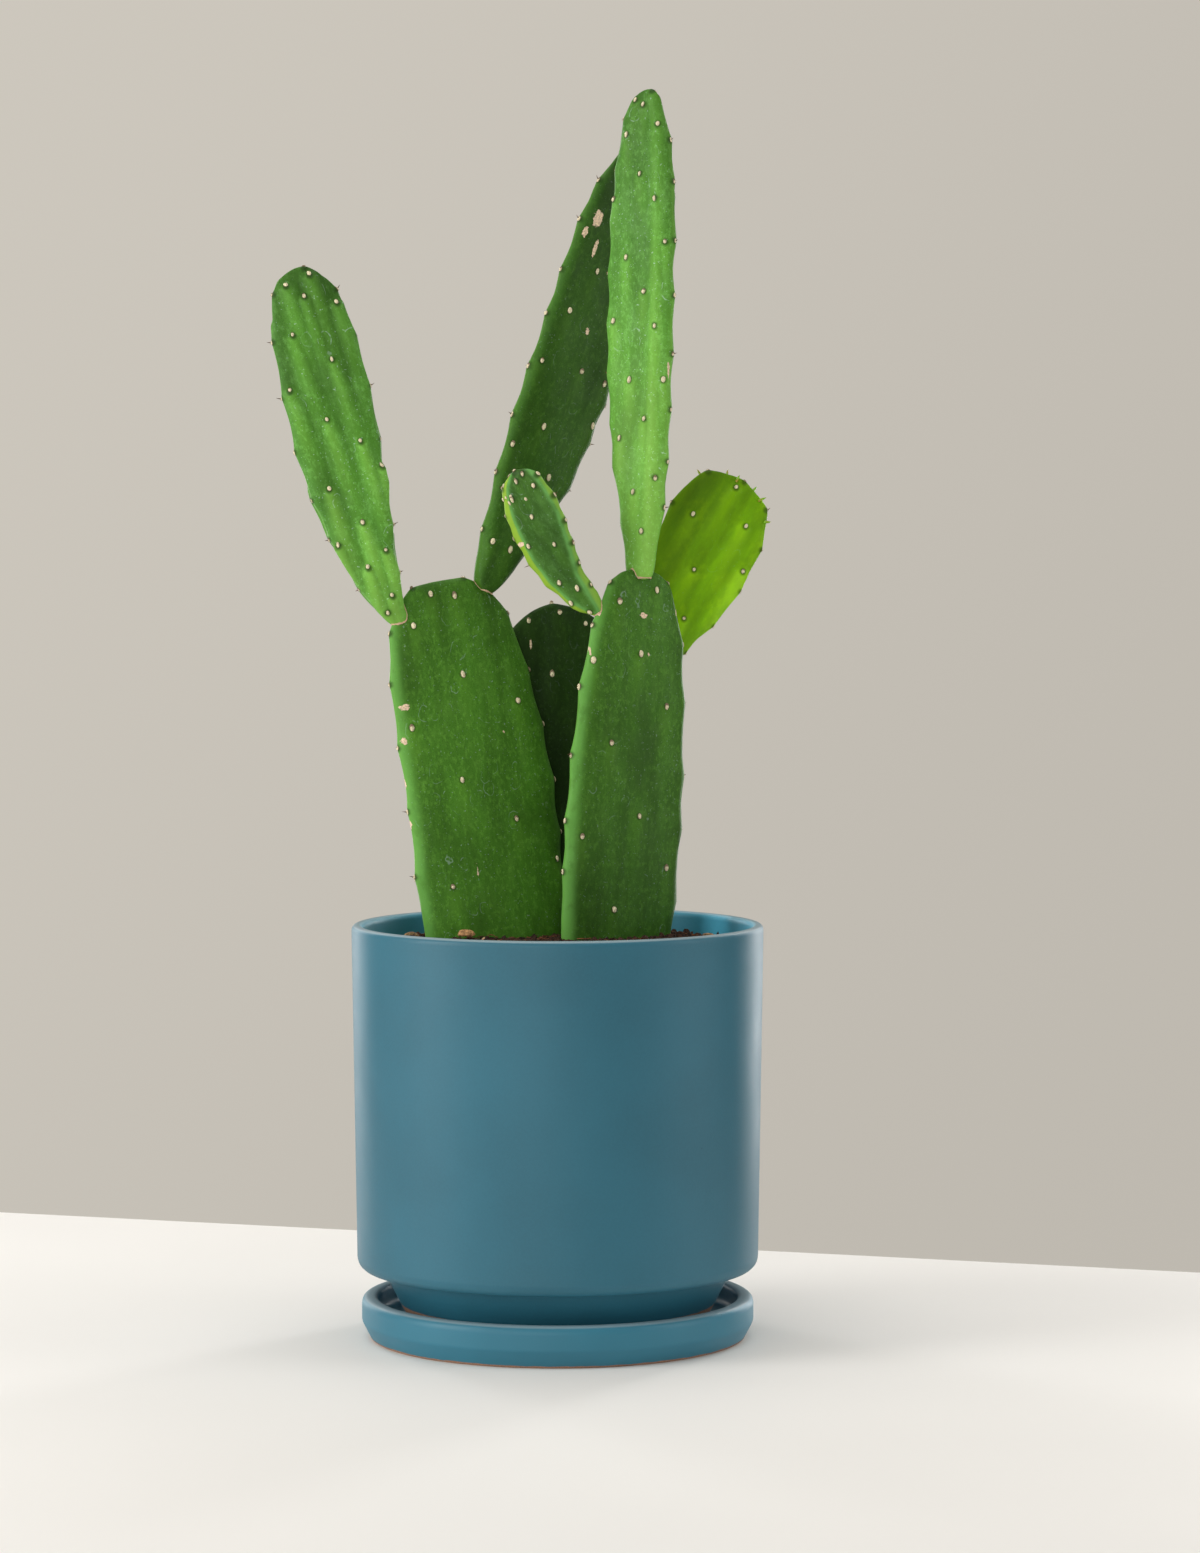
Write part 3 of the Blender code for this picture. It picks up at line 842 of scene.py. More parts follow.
def reshape(obj, look, shape):
    """Moves a pad's edges out or in by its look's few millimetres, lifts its tip and sinks its foot."""
    points = points_of(obj.data)
    across, along, _ = shape.local(points)
    levels = shape.low + np.array([row[0] for row in look.outline]) / 100.0 * (shape.high - shape.low)
    left_push = np.interp(along, levels, [row[1] * 0.001 for row in look.outline])
    right_push = np.interp(along, levels, [row[2] * 0.001 for row in look.outline])
    left, right, _ = shape.section(along)
    share = np.clip((across - left) / np.maximum(right - left, 0.002), 0.0, 1.0)
    push = share * right_push - (1.0 - share) * left_push
    raised = smooth_step(along, 0.5 * (shape.low + shape.high), shape.high) * look.lift
    raised -= (1.0 - smooth_step(along, shape.low, shape.low + 0.014)) * look.drop
    set_points(obj.data, points + push[:, None] * shape.across + raised[:, None] * shape.along)


def ray_tree(obj):
    mesh = obj.data
    return BVHTree.FromPolygons([v.co for v in mesh.vertices], [tuple(p.vertices) for p in mesh.polygons])


def face_hit(tree, shape, place, side):
    across, along, _ = shape.spot(place[0] / 100.0, place[1] / 100.0)
    start = shape.world(across, along, side * 0.2)
    hit, normal, _, _ = tree.ray_cast(start, Vector(-side * shape.facing))
    return hit, normal


def rim_hit(tree, shape, spot):
    """The surface point reached from outside, towards the pad's mid-line."""
    across, along = spot
    middle = np.interp(along, shape.levels, shape.middle)
    top = shape.high - 0.25 * (shape.high - shape.low)
    aim = shape.world(0.0, min(along, top), middle)
    here = shape.world(across, along, middle)
    outward = (here - aim).normalized()
    hit, normal, _, _ = tree.ray_cast(here + outward * 0.05, -outward)
    return hit, normal


def pad_places(name, look, shape, tree):
    """Every areole of a pad: (point, normal, side), side 0 on the rim."""
    generator = random.Random(name)
    places = []
    for side in (1.0, -1.0):
        for across, along in look.areoles:
            if side < 0:
                across = -across + generator.uniform(-8.0, 8.0)
                along = along + generator.uniform(-3.0, 1.0)
            hit, normal = face_hit(tree, shape, (across, along), side)
            if hit is not None:
                places.append((hit, normal, side))
    for spot in shape.rim_spots(look.rim_step, generator):
        hit, normal = rim_hit(tree, shape, spot)
        if hit is not None and hit.z > SOIL_TOP + 0.006:
            places.append((hit, normal, 0.0))
    return [place for place in places if place[0].z > SOIL_TOP + 0.004]


def bell(distance, reach):
    """1 at no distance, falling to 0 smoothly past the reach."""
    return np.exp(-((distance / reach) ** 2))


def areole_marks(points, place, outward, look, shape, places):
    """For each vertex: the ridge below face areoles, the halo round each, and the corner under rim ones."""
    across, along = place
    ridge, halo, corner = (np.zeros(len(points)) for _ in range(3))
    for hit, _, side in places:
        distance = np.linalg.norm(points - np.array(hit), axis=1)
        halo = np.maximum(halo, bell(distance, HALO_REACH))
        if side == 0.0:
            corner = np.maximum(corner, bell(distance, CORNER_REACH))
            continue
        own_across, own_along, _ = shape.local(np.array(hit))
        below = own_along - along
        beside = across - own_across - look.lean * below
        rise = smooth_step(below, -0.0030, 0.0015)
        fade = bell(np.maximum(below, 0.0), look.ridge_length)
        width = 0.0036 + 0.05 * np.maximum(below, 0.0)
        wall = smooth_step(outward * side, 0.15, 0.75)
        ridge = np.maximum(ridge, rise * fade * wall * bell(beside, width))
    if look.crest is not None:
        line, _, _ = shape.spot(look.crest / 100.0, (along - shape.low) / (shape.high - shape.low))
        crest = smooth_step(outward, 0.0, 0.5) * bell(across - line, 0.0034)
        ridge = np.maximum(ridge, 1.4 * crest)
    return ridge, halo, corner


def scar_marks(place, outward, look, shape):
    """For each vertex: 1 in the middle of a scar, 0 on its edge, less outside."""
    across, along = place
    scar = np.full(len(across), -1.0)
    for place_across, place_along, half_width, half_length in look.scars:
        own_across, own_along, _ = shape.spot(place_across / 100.0, place_along / 100.0)
        beside = (across - own_across) / (half_width * 0.001)
        below = (along - own_along) / (half_length * 0.001)
        inside = 1.0 - np.sqrt(beside ** 2 + below ** 2)
        scar = np.maximum(scar, np.where(outward > -0.25, inside, -1.0))
    return scar


def lit_edge_and_shade(place, outward, ridge, look, shape):
    """For each vertex: the painted lit strip along the edges, and the skin's tone with painted light and
    shade.
    """
    across, along = place
    left, right, _ = shape.section(along)
    left, right = across - left, right - across
    # Painted highlight: a lit strip along the left edge, and a weaker one along the right.
    edge = look.edge_light * (bell(left, 0.0042) + 0.35 * bell(right, 0.0020))
    foot, tip, slope = look.tones_and_shade
    # Partly each pad's own green, partly painted light and shade, from the foot to the tip.
    tone = foot + (tip - foot) * (along - shape.low) / (shape.high - shape.low)
    # Painted light and shade: lighter on the ridges, darker between them.
    tone *= 1.0 + RIDGE_SHADE * look.ridge * (ridge - 0.45)
    # Painted light: lighter towards the right side, by the slope.
    tone *= 1.0 + slope * (right - left) / -(right + left + 1e-6)
    # The backs go most of the way to a plain tone, so the painted shade is mostly on the fronts.
    tone += (BACK_TONE - tone) * 0.7 * smooth_step(-outward, -0.3, 0.6)
    return edge * (1.0 + look.pale), tone


def raise_skin(obj, name, look, shape, places):
    """Shapes a pad's skin: tubercles, ridges that run down from them, dents, and raised scars."""
    mesh = obj.data
    points = points_of(mesh)
    normals = normals_of(mesh)
    across, along, _ = shape.local(points)
    place = (across, along)
    outward = normals @ shape.facing
    length = shape.high - shape.low
    foot = smooth_step(along, shape.low + 0.02 * length, shape.low + 0.08 * length)
    ridge, halo, corner = areole_marks(points, place, outward, look, shape, places)
    scar = scar_marks(place, outward, look, shape)
    edge, tone = lit_edge_and_shade(place, outward, ridge, look, shape)
    seed = Vector((len(name) * 1.7, look.ridge * 9000.0, look.rim_step * 100.0))
    stretched_places = zip(across * 210.0, along * 40.0, outward)
    rolling = np.array([noise.noise(Vector(p) * 45.0 + seed) for p in points])
    dents = np.array([noise.noise(Vector(p) + seed) for p in stretched_places])
    height = look.ridge * (ridge - 0.25) + 0.0004 * rolling + 0.00015 * dents
    height += 0.00040 * halo + 0.00100 * corner
    height += 0.00012 * smooth_step(scar, 0.0, 0.3)
    set_points(mesh, points + normals * (height * foot)[:, None])
    apart = PLACE_STEP * (1 + list(PADS).index(name))
    marks = {
        "rim": 1.0 - np.abs(outward), "ridge": ridge, "edge": edge, "tone": tone, "halo": halo,
        "scar": scar, "pad_place": np.stack([across + apart, along, outward * 0.006], axis=1),
    }
    for mark, values in marks.items():
        store(mesh, mark, values)


def areole_frame(normal, shape):
    """A frame that stands on the skin with its Y along the pad."""
    up = Vector(normal)
    along = Vector(shape.along)
    along = (along - up * along.dot(up)).normalized()
    return Matrix((along.cross(up), along, up)).transposed()


def add_areole(heap, bristles, frame_at, centre, size, generator):
    """One felted cushion, dark round its foot, with its bristles."""
    points, faces = ball(6, 9)
    wide = size * generator.uniform(0.29, 0.39)
    long = size * generator.uniform(0.44, 0.58)
    tall = size * generator.uniform(0.20, 0.30)
    seed = Vector((generator.uniform(0.0, 50.0), 0.0, 0.0))
    skin = []
    dark = []
    stain = generator.random()
    for x, y, z in points:
        swell = 1.0 + 0.22 * noise.noise(Vector((x, y, z)) * 2.2 + seed)
        local = Vector((x * wide, y * long, z * tall)) * swell
        skin.append(Vector(centre) + frame_at @ local)
        foot = 0.8 if z < 0.05 else 0.0
        blot = 0.8 if stain < 0.35 and y > 0.25 else 0.0
        dark.append(max(foot, blot))
    heap.add(skin, faces, np.array(dark))
    add_bristles(bristles, frame_at, centre, size, (wide, long, tall), generator)


def add_bristles(bristles, frame_at, centre, size, cushion, generator):
    """The five short bristles of one areole."""
    wide, long, tall = cushion
    for _ in range(5):
        turn = generator.uniform(0.0, 2.0 * math.pi)
        tilt = generator.uniform(0.1, 0.8)
        root = Vector((math.cos(turn) * wide * 0.5, math.sin(turn) * long * 0.5, tall * 0.6))
        lean = Vector((math.cos(turn) * tilt, math.sin(turn) * tilt, 1.0)).normalized()
        tip = root + lean * size * generator.uniform(0.18, 0.34)
        path = [Vector(centre) + frame_at @ p for p in (root, (root + tip) / 2, tip)]
        bristles.add(*tube(path, (0.00006, 0.00005, 0.00001), 3), generator.uniform(0.2, 0.8))


def add_spine(bristles, frame_at, centre, generator):
    """The dark, dry remains of a leaf or spine on the rim."""
    reach = generator.uniform(0.0012, 0.0026)
    bend = generator.uniform(-0.6, 0.6)
    path = []
    for i in range(4):
        share = i / 3.0
        local = Vector((bend * reach * share * share, 0.3 * reach * share, reach * share))
        path.append(Vector(centre) + frame_at @ local)
    bristles.add(*tube(path, (0.00026, 0.00022, 0.00014, 0.00002), 5), generator.uniform(0.0, 0.3))


def make_areoles(name, obj, shape, places, settings, felt, bristle):
    generator = random.Random(name + " areoles")
    heap = Heap()
    bristles = Heap()
    tree = ray_tree(obj)
    for spot, _, side in places:
        hit, normal, _, _ = tree.find_nearest(spot)
        frame_at = areole_frame(normal, shape)
        size = settings.areole * AREOLE_SIZES[PADS[name].green]
        size *= generator.uniform(0.9, 1.15) if side else generator.uniform(0.7, 0.95)
        add_areole(heap, bristles, frame_at, hit, size, generator)
        if side == 0.0 and generator.random() < 0.35:
            add_spine(bristles, frame_at, hit + Vector(normal) * 0.0004, generator)
    if name == "small_front_pad":
        add_tip_cluster(heap, bristles, shape, tree, settings, generator)
    finish_piece(heap.build(name + "_areoles", "dark"), felt)
    finish_piece(bristles.build(name + "_bristles", "shade"), bristle)


def add_tip_cluster(heap, bristles, shape, tree, settings, generator):
    """The crowded areoles at the small pad's growing tip."""
    across, _, middle = shape.spot(0.0, 0.90)
    centre = shape.world(across, shape.high - 0.012, middle)
    for i in range(TIP_AREOLES):
        turn = math.radians(95.0 + 6.0 * i)
        outward = Vector(shape.across) * math.cos(turn) + Vector(shape.along) * math.sin(turn)
        aside = Vector(shape.facing) * generator.uniform(-0.0030, 0.0042)
        hit, normal, _, _ = tree.ray_cast(centre + outward * 0.05 + aside, -outward)
        if hit is not None:
            frame_at = areole_frame(normal, shape)
            size = settings.areole * generator.uniform(0.55, 0.80)
            add_areole(heap, bristles, frame_at, hit, size, generator)


def make_pad(name, look, settings, materials, skins):
    obj = refined(name, name + "_skin", PAD_LEVELS, relax=3)
    cad_points = points_of(NODES[name].data)
    reshape(obj, look, PadShape(cad_points, points_of(obj.data)))
    shape = PadShape(cad_points, points_of(obj.data))
    places = pad_places(name, look, shape, ray_tree(obj))
    raise_skin(obj, name, look, shape, places)
    finish_piece(obj, materials[look.green], (name,))
    make_areoles(name, obj, shape, places, settings, materials["felt"], materials["bristle"])
    skins[name] = ray_tree(obj)
    if name in PARENTS:
        make_collar(name, skins, shape, materials["cork"])


def joint_point(skin, parent, shape, outward):
    """Where, on one side, an upper pad's skin comes down to the skin of the pad below."""
    found = None
    for step in range(70):
        level = shape.low + 0.0200 - 0.0003 * step
        if level < shape.low + 0.0010:
            break
        left, right, middle = shape.section(level)
        heart = shape.world(0.5 * (left + right), level, middle)
        hit, _, _, _ = skin.ray_cast(heart + outward * 0.05, -outward)
        if hit is None:
            continue
        found = hit
        near, normal, _, _ = parent.find_nearest(hit)
        if (hit - near).dot(normal) < 0.0002:
            break
    return found


def make_collar(name, skins, shape, cork):
    """The thin corky lip where an upper pad grows out of the pad below."""
    shift = drawn_vector(random.Random(name + " collar"), 0, 9)
    points = []
    faces = []
    for i in range(COLLAR_SIDES):
        turn = 2 * math.pi * i / COLLAR_SIDES
        outward = Vector(shape.across) * math.cos(turn) + Vector(shape.facing) * math.sin(turn)
        hit = joint_point(skins[name], skins[PARENTS[name]], shape, outward)
        radius = 0.00038 + 0.00030 * noise.noise(hit * 600.0 + shift)
        for j in range(COLLAR_ROUND):
            spin = 2 * math.pi * j / COLLAR_ROUND
            arm = outward * math.cos(spin) + Vector(shape.along) * 1.2 * math.sin(spin)
            points.append(hit + arm * radius)
        following = (i + 1) % COLLAR_SIDES
        faces += ring_faces(i * COLLAR_ROUND, following * COLLAR_ROUND, COLLAR_ROUND)
    obj = object_from(name + "_collar", points, faces)
    store(obj.data, "shade", np.full(len(points), 0.25))
    finish_piece(obj, cork)


def seat_on(obj, skin):
    """Shifts a small piece out or in until its foot is just under the skin."""
    points = points_of(obj.data)
    hit, normal, _, _ = skin.find_nearest(Vector(points.mean(0)))
    heights = (points - np.array(hit)) @ np.array(normal)
    set_points(obj.data, points - (heights.min() + 0.0006) * np.array(normal))


# ---------------------------------------------------------------- soil


SOIL_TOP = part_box("soil")[1].z
SOIL_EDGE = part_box("soil")[1].x
SOIL_RINGS = 78
SOIL_SIDES = 220
SOIL_LOW = 0.0016
SOIL_DIP = 0.0038
CHIP_PROP = 0.0022
FIBRES = 170
GRITS = 90
FRONT_CHIP = sum(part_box("bark_chip_1"), Vector()) / 2


def soil_outline():
    """The plug's outer wall from its top edge down, as (radius, height)."""
    points = points_of(NODES["soil"].data)
    radius = np.hypot(points[:, 0], points[:, 1])
    wall = {}
    for r, z in zip(radius, points[:, 2]):
        if r > 0.6 * SOIL_EDGE:
            level = round(float(z), 4)
            wall[level] = max(wall.get(level, 0.0), float(r))
    levels = [z for z in sorted(wall, reverse=True) if wall[z] > 0.8 * SOIL_EDGE]
    lower = [(wall[z], z) for z in levels if z < SOIL_TOP - SOIL_DIP - 0.005]
    return [(wall[levels[0]], levels[0])] + lower


def soil_dip(x, y):
    """How far the soil has sunk: most at the pot's wall, not at all under the front chip."""
    away = math.dist((x, y), FRONT_CHIP[:2])
    slope = float(smooth_step(math.hypot(x, y), 0.55 * SOIL_EDGE, SOIL_EDGE))
    return SOIL_DIP * slope * (1.0 - math.exp(-((away / 0.013) ** 2)))


def soil_height(x, y, relief):
    point = Vector((x, y, 0.0))
    broad = noise.noise(point * 38.0)
    lumps = noise.fractal(point * 260.0, 0.7, 2.1, 4)
    mound = 0.0018 * math.exp(-((math.dist((x, y), FRONT_CHIP[:2]) / 0.007) ** 2))
    return SOIL_TOP - SOIL_LOW + relief * (0.5 * broad + 0.45 * lumps) - soil_dip(x, y) + mound


def make_soil(settings):
    wall = soil_outline()
    top_edge = wall[0][0]
    rings, sides = SOIL_RINGS, SOIL_SIDES
    points = [(0.0, 0.0, soil_height(0.0, 0.0, settings.roughness_height))]
    for i in range(1, rings + 1):
        radius = top_edge * i / rings
        for j in range(sides):
            x, y, _ = polar(radius, 2 * math.pi * (j + 0.5 * (i % 2)) / sides, 0.0)
            points.append((x, y, soil_height(x, y, settings.roughness_height)))
    for radius, height in wall[1:]:
        for j in range(sides):
            points.append(polar(radius, 2 * math.pi * (j + 0.5 * (rings % 2)) / sides, height))
    faces = [(0, 1 + j, 1 + (j + 1) % sides) for j in range(sides)]
    count = rings + len(wall) - 1
    for i in range(count - 1):
        faces += ring_faces(1 + i * sides, 1 + (i + 1) * sides, sides)
    last = 1 + (count - 1) * sides
    faces.append(tuple(range(last + sides - 1, last - 1, -1)))
    obj = object_from("soil_bed", points, faces)
    store(obj.data, "shade", np.full(len(points), 0.1))
    light = [c * 1.6 for c in settings.earth]
    earth = rough_material("potting_soil", light, settings.earth, 700.0, 0.95, 1.0)
    return finish_piece(obj, earth, ("soil",)), earth


def pads_tree():
    """The pads' solids, for keeping loose bits out of them."""
    points = []
    faces = []
    for name in PADS:
        mesh = NODES[name].data
        first = len(points)
        points += [v.co.copy() for v in mesh.vertices]
        faces += [tuple(first + i for i in p.vertices) for p in mesh.polygons]
    return BVHTree.FromPolygons(points, faces)


def clear_of_pads(tree, point, reach):
    hit, normal, _, distance = tree.find_nearest(point)
    return distance > reach and (point - hit).dot(normal) > 0.0


def lump(base, size, generator):
    """A crumb: a ball pushed in and out by noise, turned any way."""
    shift = drawn_vector(generator, 0, 99)
    angle = generator.uniform(0, 6.28)
    axis = Vector((generator.gauss(0, 1), generator.gauss(0, 1), 1.0))
    turn = Matrix.Rotation(angle, 3, axis)
    limits = ((0.7, 1.3), (0.7, 1.1), (0.6, 1.0))
    stretch = Vector([generator.uniform(low, high) for low, high in limits])
    points = []
    for p in base:
        p = Vector(p)
        swell = 1.0 + 0.75 * noise.noise(p * 1.3 + shift) + 0.30 * noise.noise(p * 3.1 + shift)
        points.append(turn @ (p * stretch) * (swell * size))
    return points


def scatter(heap, count, low, high, generator, tree, relief, shades):
    """Strews crumbs of low to high size evenly over the soil, and none in a pad."""
    base, faces = ball(5, 7)
    for _ in range(count):
        size = low * (high / low) ** (generator.random() ** 1.8)
        radius = (SOIL_EDGE - size - 0.0008) * generator.random() ** 0.5
        x, y, _ = polar(radius, generator.uniform(0.0, 2.0 * math.pi), 0.0)
        centre = Vector((x, y, soil_height(x, y, relief) + 0.35 * size))
        if clear_of_pads(tree, centre, size * 1.1):
            points = [centre + p for p in lump(base, size, generator)]
            heap.add(points, faces, generator.uniform(*shades))


def strewn_fibres(generator, tree, relief):
    """Thin bent fibres that lie on the soil."""
    fibres = Heap()
    for _ in range(FIBRES):
        radius = (SOIL_EDGE - 0.012) * generator.random() ** 0.5
        turn = generator.uniform(0.0, 2.0 * math.pi)
        heading = generator.uniform(0.0, 2.0 * math.pi)
        length = generator.uniform(0.004, 0.011)
        thick = generator.uniform(0.00014, 0.00035)
        path = []
        for i in range(5):
            share = i / 4.0 - 0.5
            x = radius * math.cos(turn) + length * share * math.cos(heading + share)
            y = radius * math.sin(turn) + length * share * math.sin(heading + share)
            lift = 0.0008 + 0.0008 * generator.random()
            path.append(Vector((x, y, soil_height(x, y, relief) + lift)))
        if all(clear_of_pads(tree, p, 0.0006) for p in path):
            fibres.add(*tube(path, [thick] * 5, 5), generator.uniform(0.0, 1.0))
    return fibres


def make_loose_bits(settings, earth):
    tree = pads_tree()
    relief = settings.roughness_height
    generator = random.Random("soil")
    crumbs = Heap()
    scatter(crumbs, settings.crumbs, 0.0006, 0.0024, generator, tree, relief, (0.0, 0.75))
    finish_piece(crumbs.build("soil_crumbs", "shade"), earth)
    grit = Heap()
    scatter(grit, GRITS, 0.0005, 0.0013, generator, tree, relief, (0.2, 1.0))
    pale = rough_material("pale_grit", (0.46, 0.38, 0.29), (0.28, 0.20, 0.14), 900.0)
    finish_piece(grit.build("soil_grit", "shade"), pale)
    fibres = strewn_fibres(generator, tree, relief)
    wood = rough_material("wood_fibre", (0.16, 0.075, 0.035), (0.06, 0.03, 0.016), 900.0)
    finish_piece(fibres.build("soil_fibres", "shade"), wood)


def make_chip(name, number, material):
    obj = refined(name, name + "_bark", 2)
    mesh = obj.data
    points = points_of(mesh)
    normals = normals_of(mesh)
    shift = Vector((number * 5.1, 0.0, 0.0))
    rough = np.array([noise.fractal(Vector(p) * 520.0 + shift, 0.8, 2.0, 3) for p in points])
    middle = points.mean(0)
    propped = CHIP_PROP if number == 1 else 0.0
    points = points + np.array((0.0, 0.0, propped - soil_dip(middle[0], middle[1])))
    set_points(mesh, points + normals * (0.00045 * rough)[:, None])
    store(mesh, "shade", np.full(len(points), 0.5 if number == 1 else 0.1))
    finish_piece(obj, material, (name,))


# ---------------------------------------------------------------- stage


TABLE_BACK = ((-3.0, 1.270), (3.0, -0.668))
TABLE_FRONT = -3.2
CAMERA_PLACE = (0.0209, -2.206, 0.3916)
CAMERA_DIP = 2.98
CAMERA_LENS = 104.04


def make_table(settings):
    (left, left_back), (right, right_back) = TABLE_BACK
    shape = bmesh.new()
    corners = [(left, TABLE_FRONT), (right, TABLE_FRONT), (right, right_back), (left, left_back)]
    top = [shape.verts.new((x, y, 0.0)) for x, y in corners]
    low = [shape.verts.new((x, y, -0.04)) for x, y in corners]
    shape.faces.new(top)
    shape.faces.new(low[::-1])
    for i in range(4):
        shape.faces.new((top[i - 1], low[i - 1], low[i], top[i]))
    bmesh.ops.recalc_face_normals(shape, faces=shape.faces)
    bmesh.ops.bevel(shape, geom=list(shape.edges), offset=0.0015, segments=3, affect="EDGES")
    obj = object_of("table_top", shape)
    material, tree, shader = new_material("table_paint", 0.6, Specular_IOR_Level=0.3)
    place = object_place(tree)
    cast = patches(tree, place, 3.0, 2.0, 0.3, 0.7)
    colour = mixed(tree, cast, rgba(settings.table, 0.985), rgba(settings.table, 1.015))
    tree.links.new(colour, shader.inputs["Base Color"])
    tree.links.new(bumped(tree, cloud(tree, place, 500.0, 3.0), 0.03, 0.0003), shader.inputs["Normal"])
    obj.data.materials.append(material)


def make_world(settings):
    world = bpy.data.worlds.new("studio_wall")
    world.use_nodes = True
    tree = world.node_tree
    heading = add_node(tree, "ShaderNodeTexCoord").outputs["Generated"]
    parts = add_node(tree, "ShaderNodeSeparateXYZ", {0: heading})
    sideways = sums(tree, "MULTIPLY", parts.outputs["X"], -0.55)
    upward = sums(tree, "MULTIPLY", parts.outputs["Z"], 0.40)
    blend = between(tree, sums(tree, "ADD", sideways, upward), -0.14, 0.14)
    colour = mixed(tree, blend, rgba(settings.wall, 0.90), rgba(settings.wall, 1.06))
    background = tree.nodes["Background"]
    tree.links.new(colour, background.inputs["Color"])
    seen = add_node(tree, "ShaderNodeLightPath").outputs["Is Camera Ray"]
    lit = add_node(tree, "ShaderNodeMapRange", {"Value": seen, "To Min": settings.ambient, "To Max": 1.0})
    tree.links.new(lit.outputs["Result"], background.inputs["Strength"])
    bpy.context.scene.world = world


def add_light(name, power, size, place, aim, colour=(1.0, 1.0, 1.0)):
    data = bpy.data.lights.new(name, "AREA")
    data.energy = power
    data.shape = "RECTANGLE"
    data.size, data.size_y = size
    data.color = colour
    light = placed(name, data)
    light.location = place
    light.rotation_euler = (Vector(aim) - Vector(place)).to_track_quat("-Z", "Y").to_euler()


def make_lights(settings):
    middle = (0.0, 0.0, 0.28)
    key, fill = settings.key, settings.fill
    add_light("key_left", key, (0.8, 1.2), (-1.65, -0.60, 0.75), middle, (1.0, 0.985, 0.96))
    add_light("rim_left", key * 0.25, (0.25, 1.1), (-0.78, 1.15, 0.45), middle)
    add_light("fill_right", fill, (0.7, 1.2), (1.50, -0.30, 0.70), middle)
    add_light("rim_right", fill * 1.2, (0.25, 1.1), (0.80, 1.15, 0.45), middle)
    add_light("front", settings.front, (1.6, 1.0), (-0.7, -2.5, 0.60), middle)
    add_light("overhead", settings.overhead, (1.8, 1.6), (-0.10, 0.0, 2.0), (0.0, 0.0, 0.0))


def make_camera():
    data = bpy.data.cameras.new("camera")
    data.lens = CAMERA_LENS
    data.sensor_width = 36.0
    data.sensor_fit = "AUTO"
    camera = placed("camera", data)
    camera.location = CAMERA_PLACE
    camera.rotation_euler = (math.radians(90.0 - CAMERA_DIP), 0.0, 0.0)
    bpy.context.scene.camera = camera


# ---------------------------------------------------------------- operators and panel


class CACTUS_OT_pottery(bpy.types.Operator):
    """Turn the glazed pot and its saucer"""

    bl_idname = "cactus.pottery"
    bl_label = "Pot and Saucer"

    def execute(self, context):
        settings = context.scene.cactus_glaze
        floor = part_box("pot")[0].z
        lines = {"pot": floor + settings.foot_line, "saucer": settings.saucer_line}
        for node, line in lines.items():
            outline, closed = meridian(node)
            rounded = softened(softened(outline, closed), closed, 0.0002)
            obj = lathe("glazed_" + node, rounded, closed, 0.00025)
            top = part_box(node)[1]
            inner, gain = (top.x - POT_WALL_IN, 1.0) if node == "pot" else (0.0, SAUCER_PAINTED_LIGHT)
            glaze = glaze_material(node + "_glaze", settings, line, top.z, inner, gain)
            finish_piece(obj, glaze, (node,))
        return {"FINISHED"}


class CACTUS_OT_soil(bpy.types.Operator):
    """Lay the potting soil with its crumbs, grit and fibres"""

    bl_idname = "cactus.soil"
    bl_label = "Soil"

    def execute(self, context):
        settings = context.scene.cactus_soil
        _, earth = make_soil(settings)
        make_loose_bits(settings, earth)
        return {"FINISHED"}


class CACTUS_OT_chips(bpy.types.Operator):
    """Roughen the bark chips that lie on the soil"""

    bl_idname = "cactus.chips"
    bl_label = "Bark Chips"

    def execute(self, context):
        bark = context.scene.cactus_soil.bark
        pale = rough_material("pale_bark", bark, [c * 0.35 for c in bark], 650.0, 0.8, 0.9)
        for number in range(1, 6):
            make_chip("bark_chip_%d" % number, number, pale)
        return {"FINISHED"}


class CACTUS_OT_pads(bpy.types.Operator):
    """Grow the pads with their ridges, areoles, bristles, scars and collars"""

    bl_idname = "cactus.pads"
    bl_label = "Pads"

    def execute(self, context):
        settings = context.scene.cactus_pads
        materials = {
            "felt": felt_material(settings),
            "bristle": rough_material("bristle", (0.16, 0.07, 0.03), (0.05, 0.02, 0.01), 2000.0),
            "cork": rough_material("cork", settings.cork, [c * 0.75 for c in settings.cork], 1500.0),
        }
        for age, finish in SKIN_FINISHES.items():
            green = getattr(settings, age + "_green")
            materials[age] = pad_material(age + "_skin", green, settings, *finish)
        skins = {}
        for name, look in PADS.items():
            make_pad(name, look, settings, materials, skins)
        return {"FINISHED"}


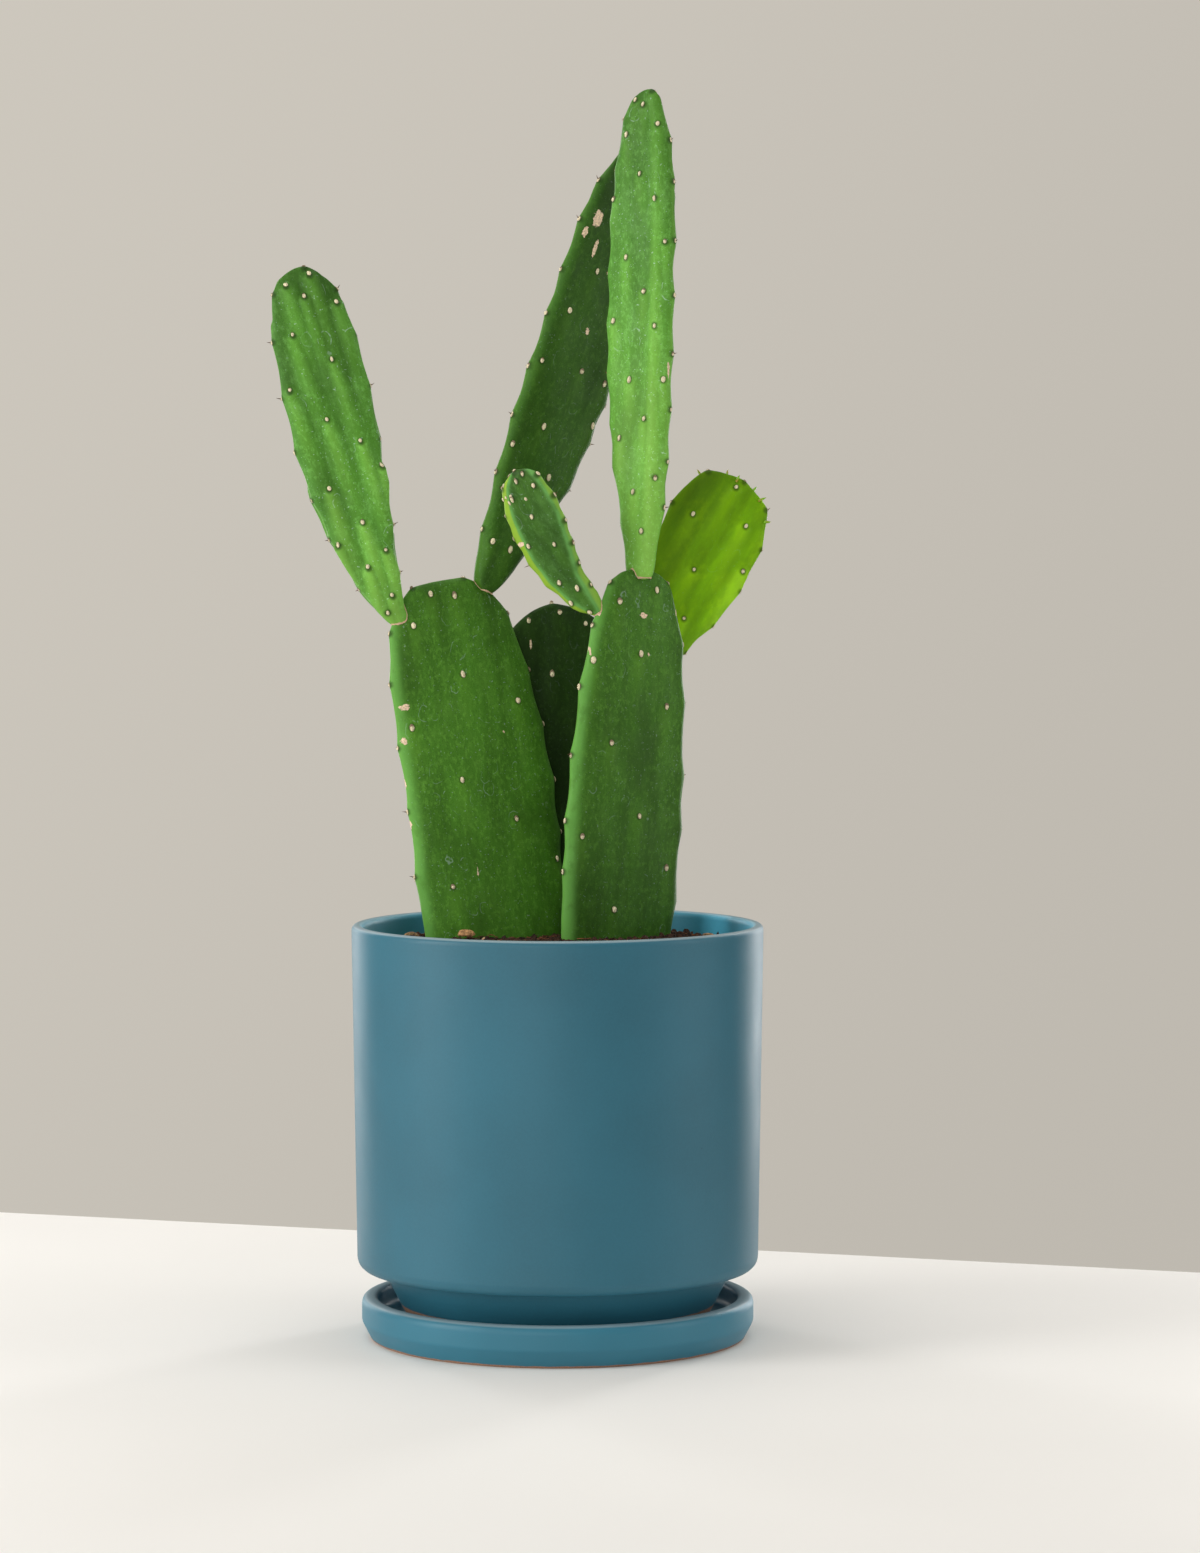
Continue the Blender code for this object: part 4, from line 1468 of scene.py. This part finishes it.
class CACTUS_OT_leaves(bpy.types.Operator):
    """Smooth the short leaves on the young pad's rim"""

    bl_idname = "cactus.leaves"
    bl_label = "Young Leaves"

    def execute(self, context):
        material = leaf_material(context.scene.cactus_pads)
        pad = ray_tree(bpy.data.objects["young_right_pad_skin"])
        for number in range(1, 7):
            name = "young_leaf_%d" % number
            leaf = refined(name, name + "_skin", 2)
            seat_on(leaf, pad)
            finish_piece(leaf, material, (name,))
        return {"FINISHED"}


class CACTUS_OT_stage(bpy.types.Operator):
    """Set up the table, the wall's colour, the lights and the camera"""

    bl_idname = "cactus.stage"
    bl_label = "Stage"

    def execute(self, context):
        settings = context.scene.cactus_stage
        make_camera()
        make_table(settings)
        make_world(settings)
        make_lights(settings)
        context.scene.view_settings.view_transform = "Standard"
        return {"FINISHED"}


OPERATORS = (
    CACTUS_OT_stage, CACTUS_OT_pottery, CACTUS_OT_soil, CACTUS_OT_chips, CACTUS_OT_pads, CACTUS_OT_leaves,
)
SETTINGS = {
    "cactus_glaze": GlazeSettings,
    "cactus_pads": PadSettings,
    "cactus_soil": SoilSettings,
    "cactus_stage": StageSettings,
}


class CACTUS_PT_panel(bpy.types.Panel):
    """Lists the settings and the steps"""

    bl_label = "Paddle Cactus"
    bl_idname = "CACTUS_PT_panel"
    bl_space_type = "VIEW_3D"
    bl_region_type = "UI"
    bl_category = "Cactus"

    def draw(self, context):
        for key, group in SETTINGS.items():
            box = self.layout.box()
            for name in group.__annotations__:
                box.prop(getattr(context.scene, key), name)
        for operator in OPERATORS:
            self.layout.operator(operator.bl_idname)


def register():
    for group in SETTINGS.values():
        bpy.utils.register_class(group)
    for key, group in SETTINGS.items():
        setattr(bpy.types.Scene, key, PointerProperty(type=group))
    for operator in OPERATORS:
        bpy.utils.register_class(operator)
    bpy.utils.register_class(CACTUS_PT_panel)


def unregister():
    bpy.utils.unregister_class(CACTUS_PT_panel)
    for operator in reversed(OPERATORS):
        bpy.utils.unregister_class(operator)
    for key, group in SETTINGS.items():
        delattr(bpy.types.Scene, key)
        bpy.utils.unregister_class(group)


def clear_startup():
    """Removes what Blender starts with, and nothing of the frame."""
    for name in ("Cube", "Light", "Camera"):
        if name in bpy.data.objects:
            bpy.data.objects.remove(bpy.data.objects[name])


def main():
    clear_startup()
    register()
    for operator in OPERATORS:
        group, step = operator.bl_idname.split(".")
        getattr(getattr(bpy.ops, group), step)()


if __name__ == "__main__":
    main()
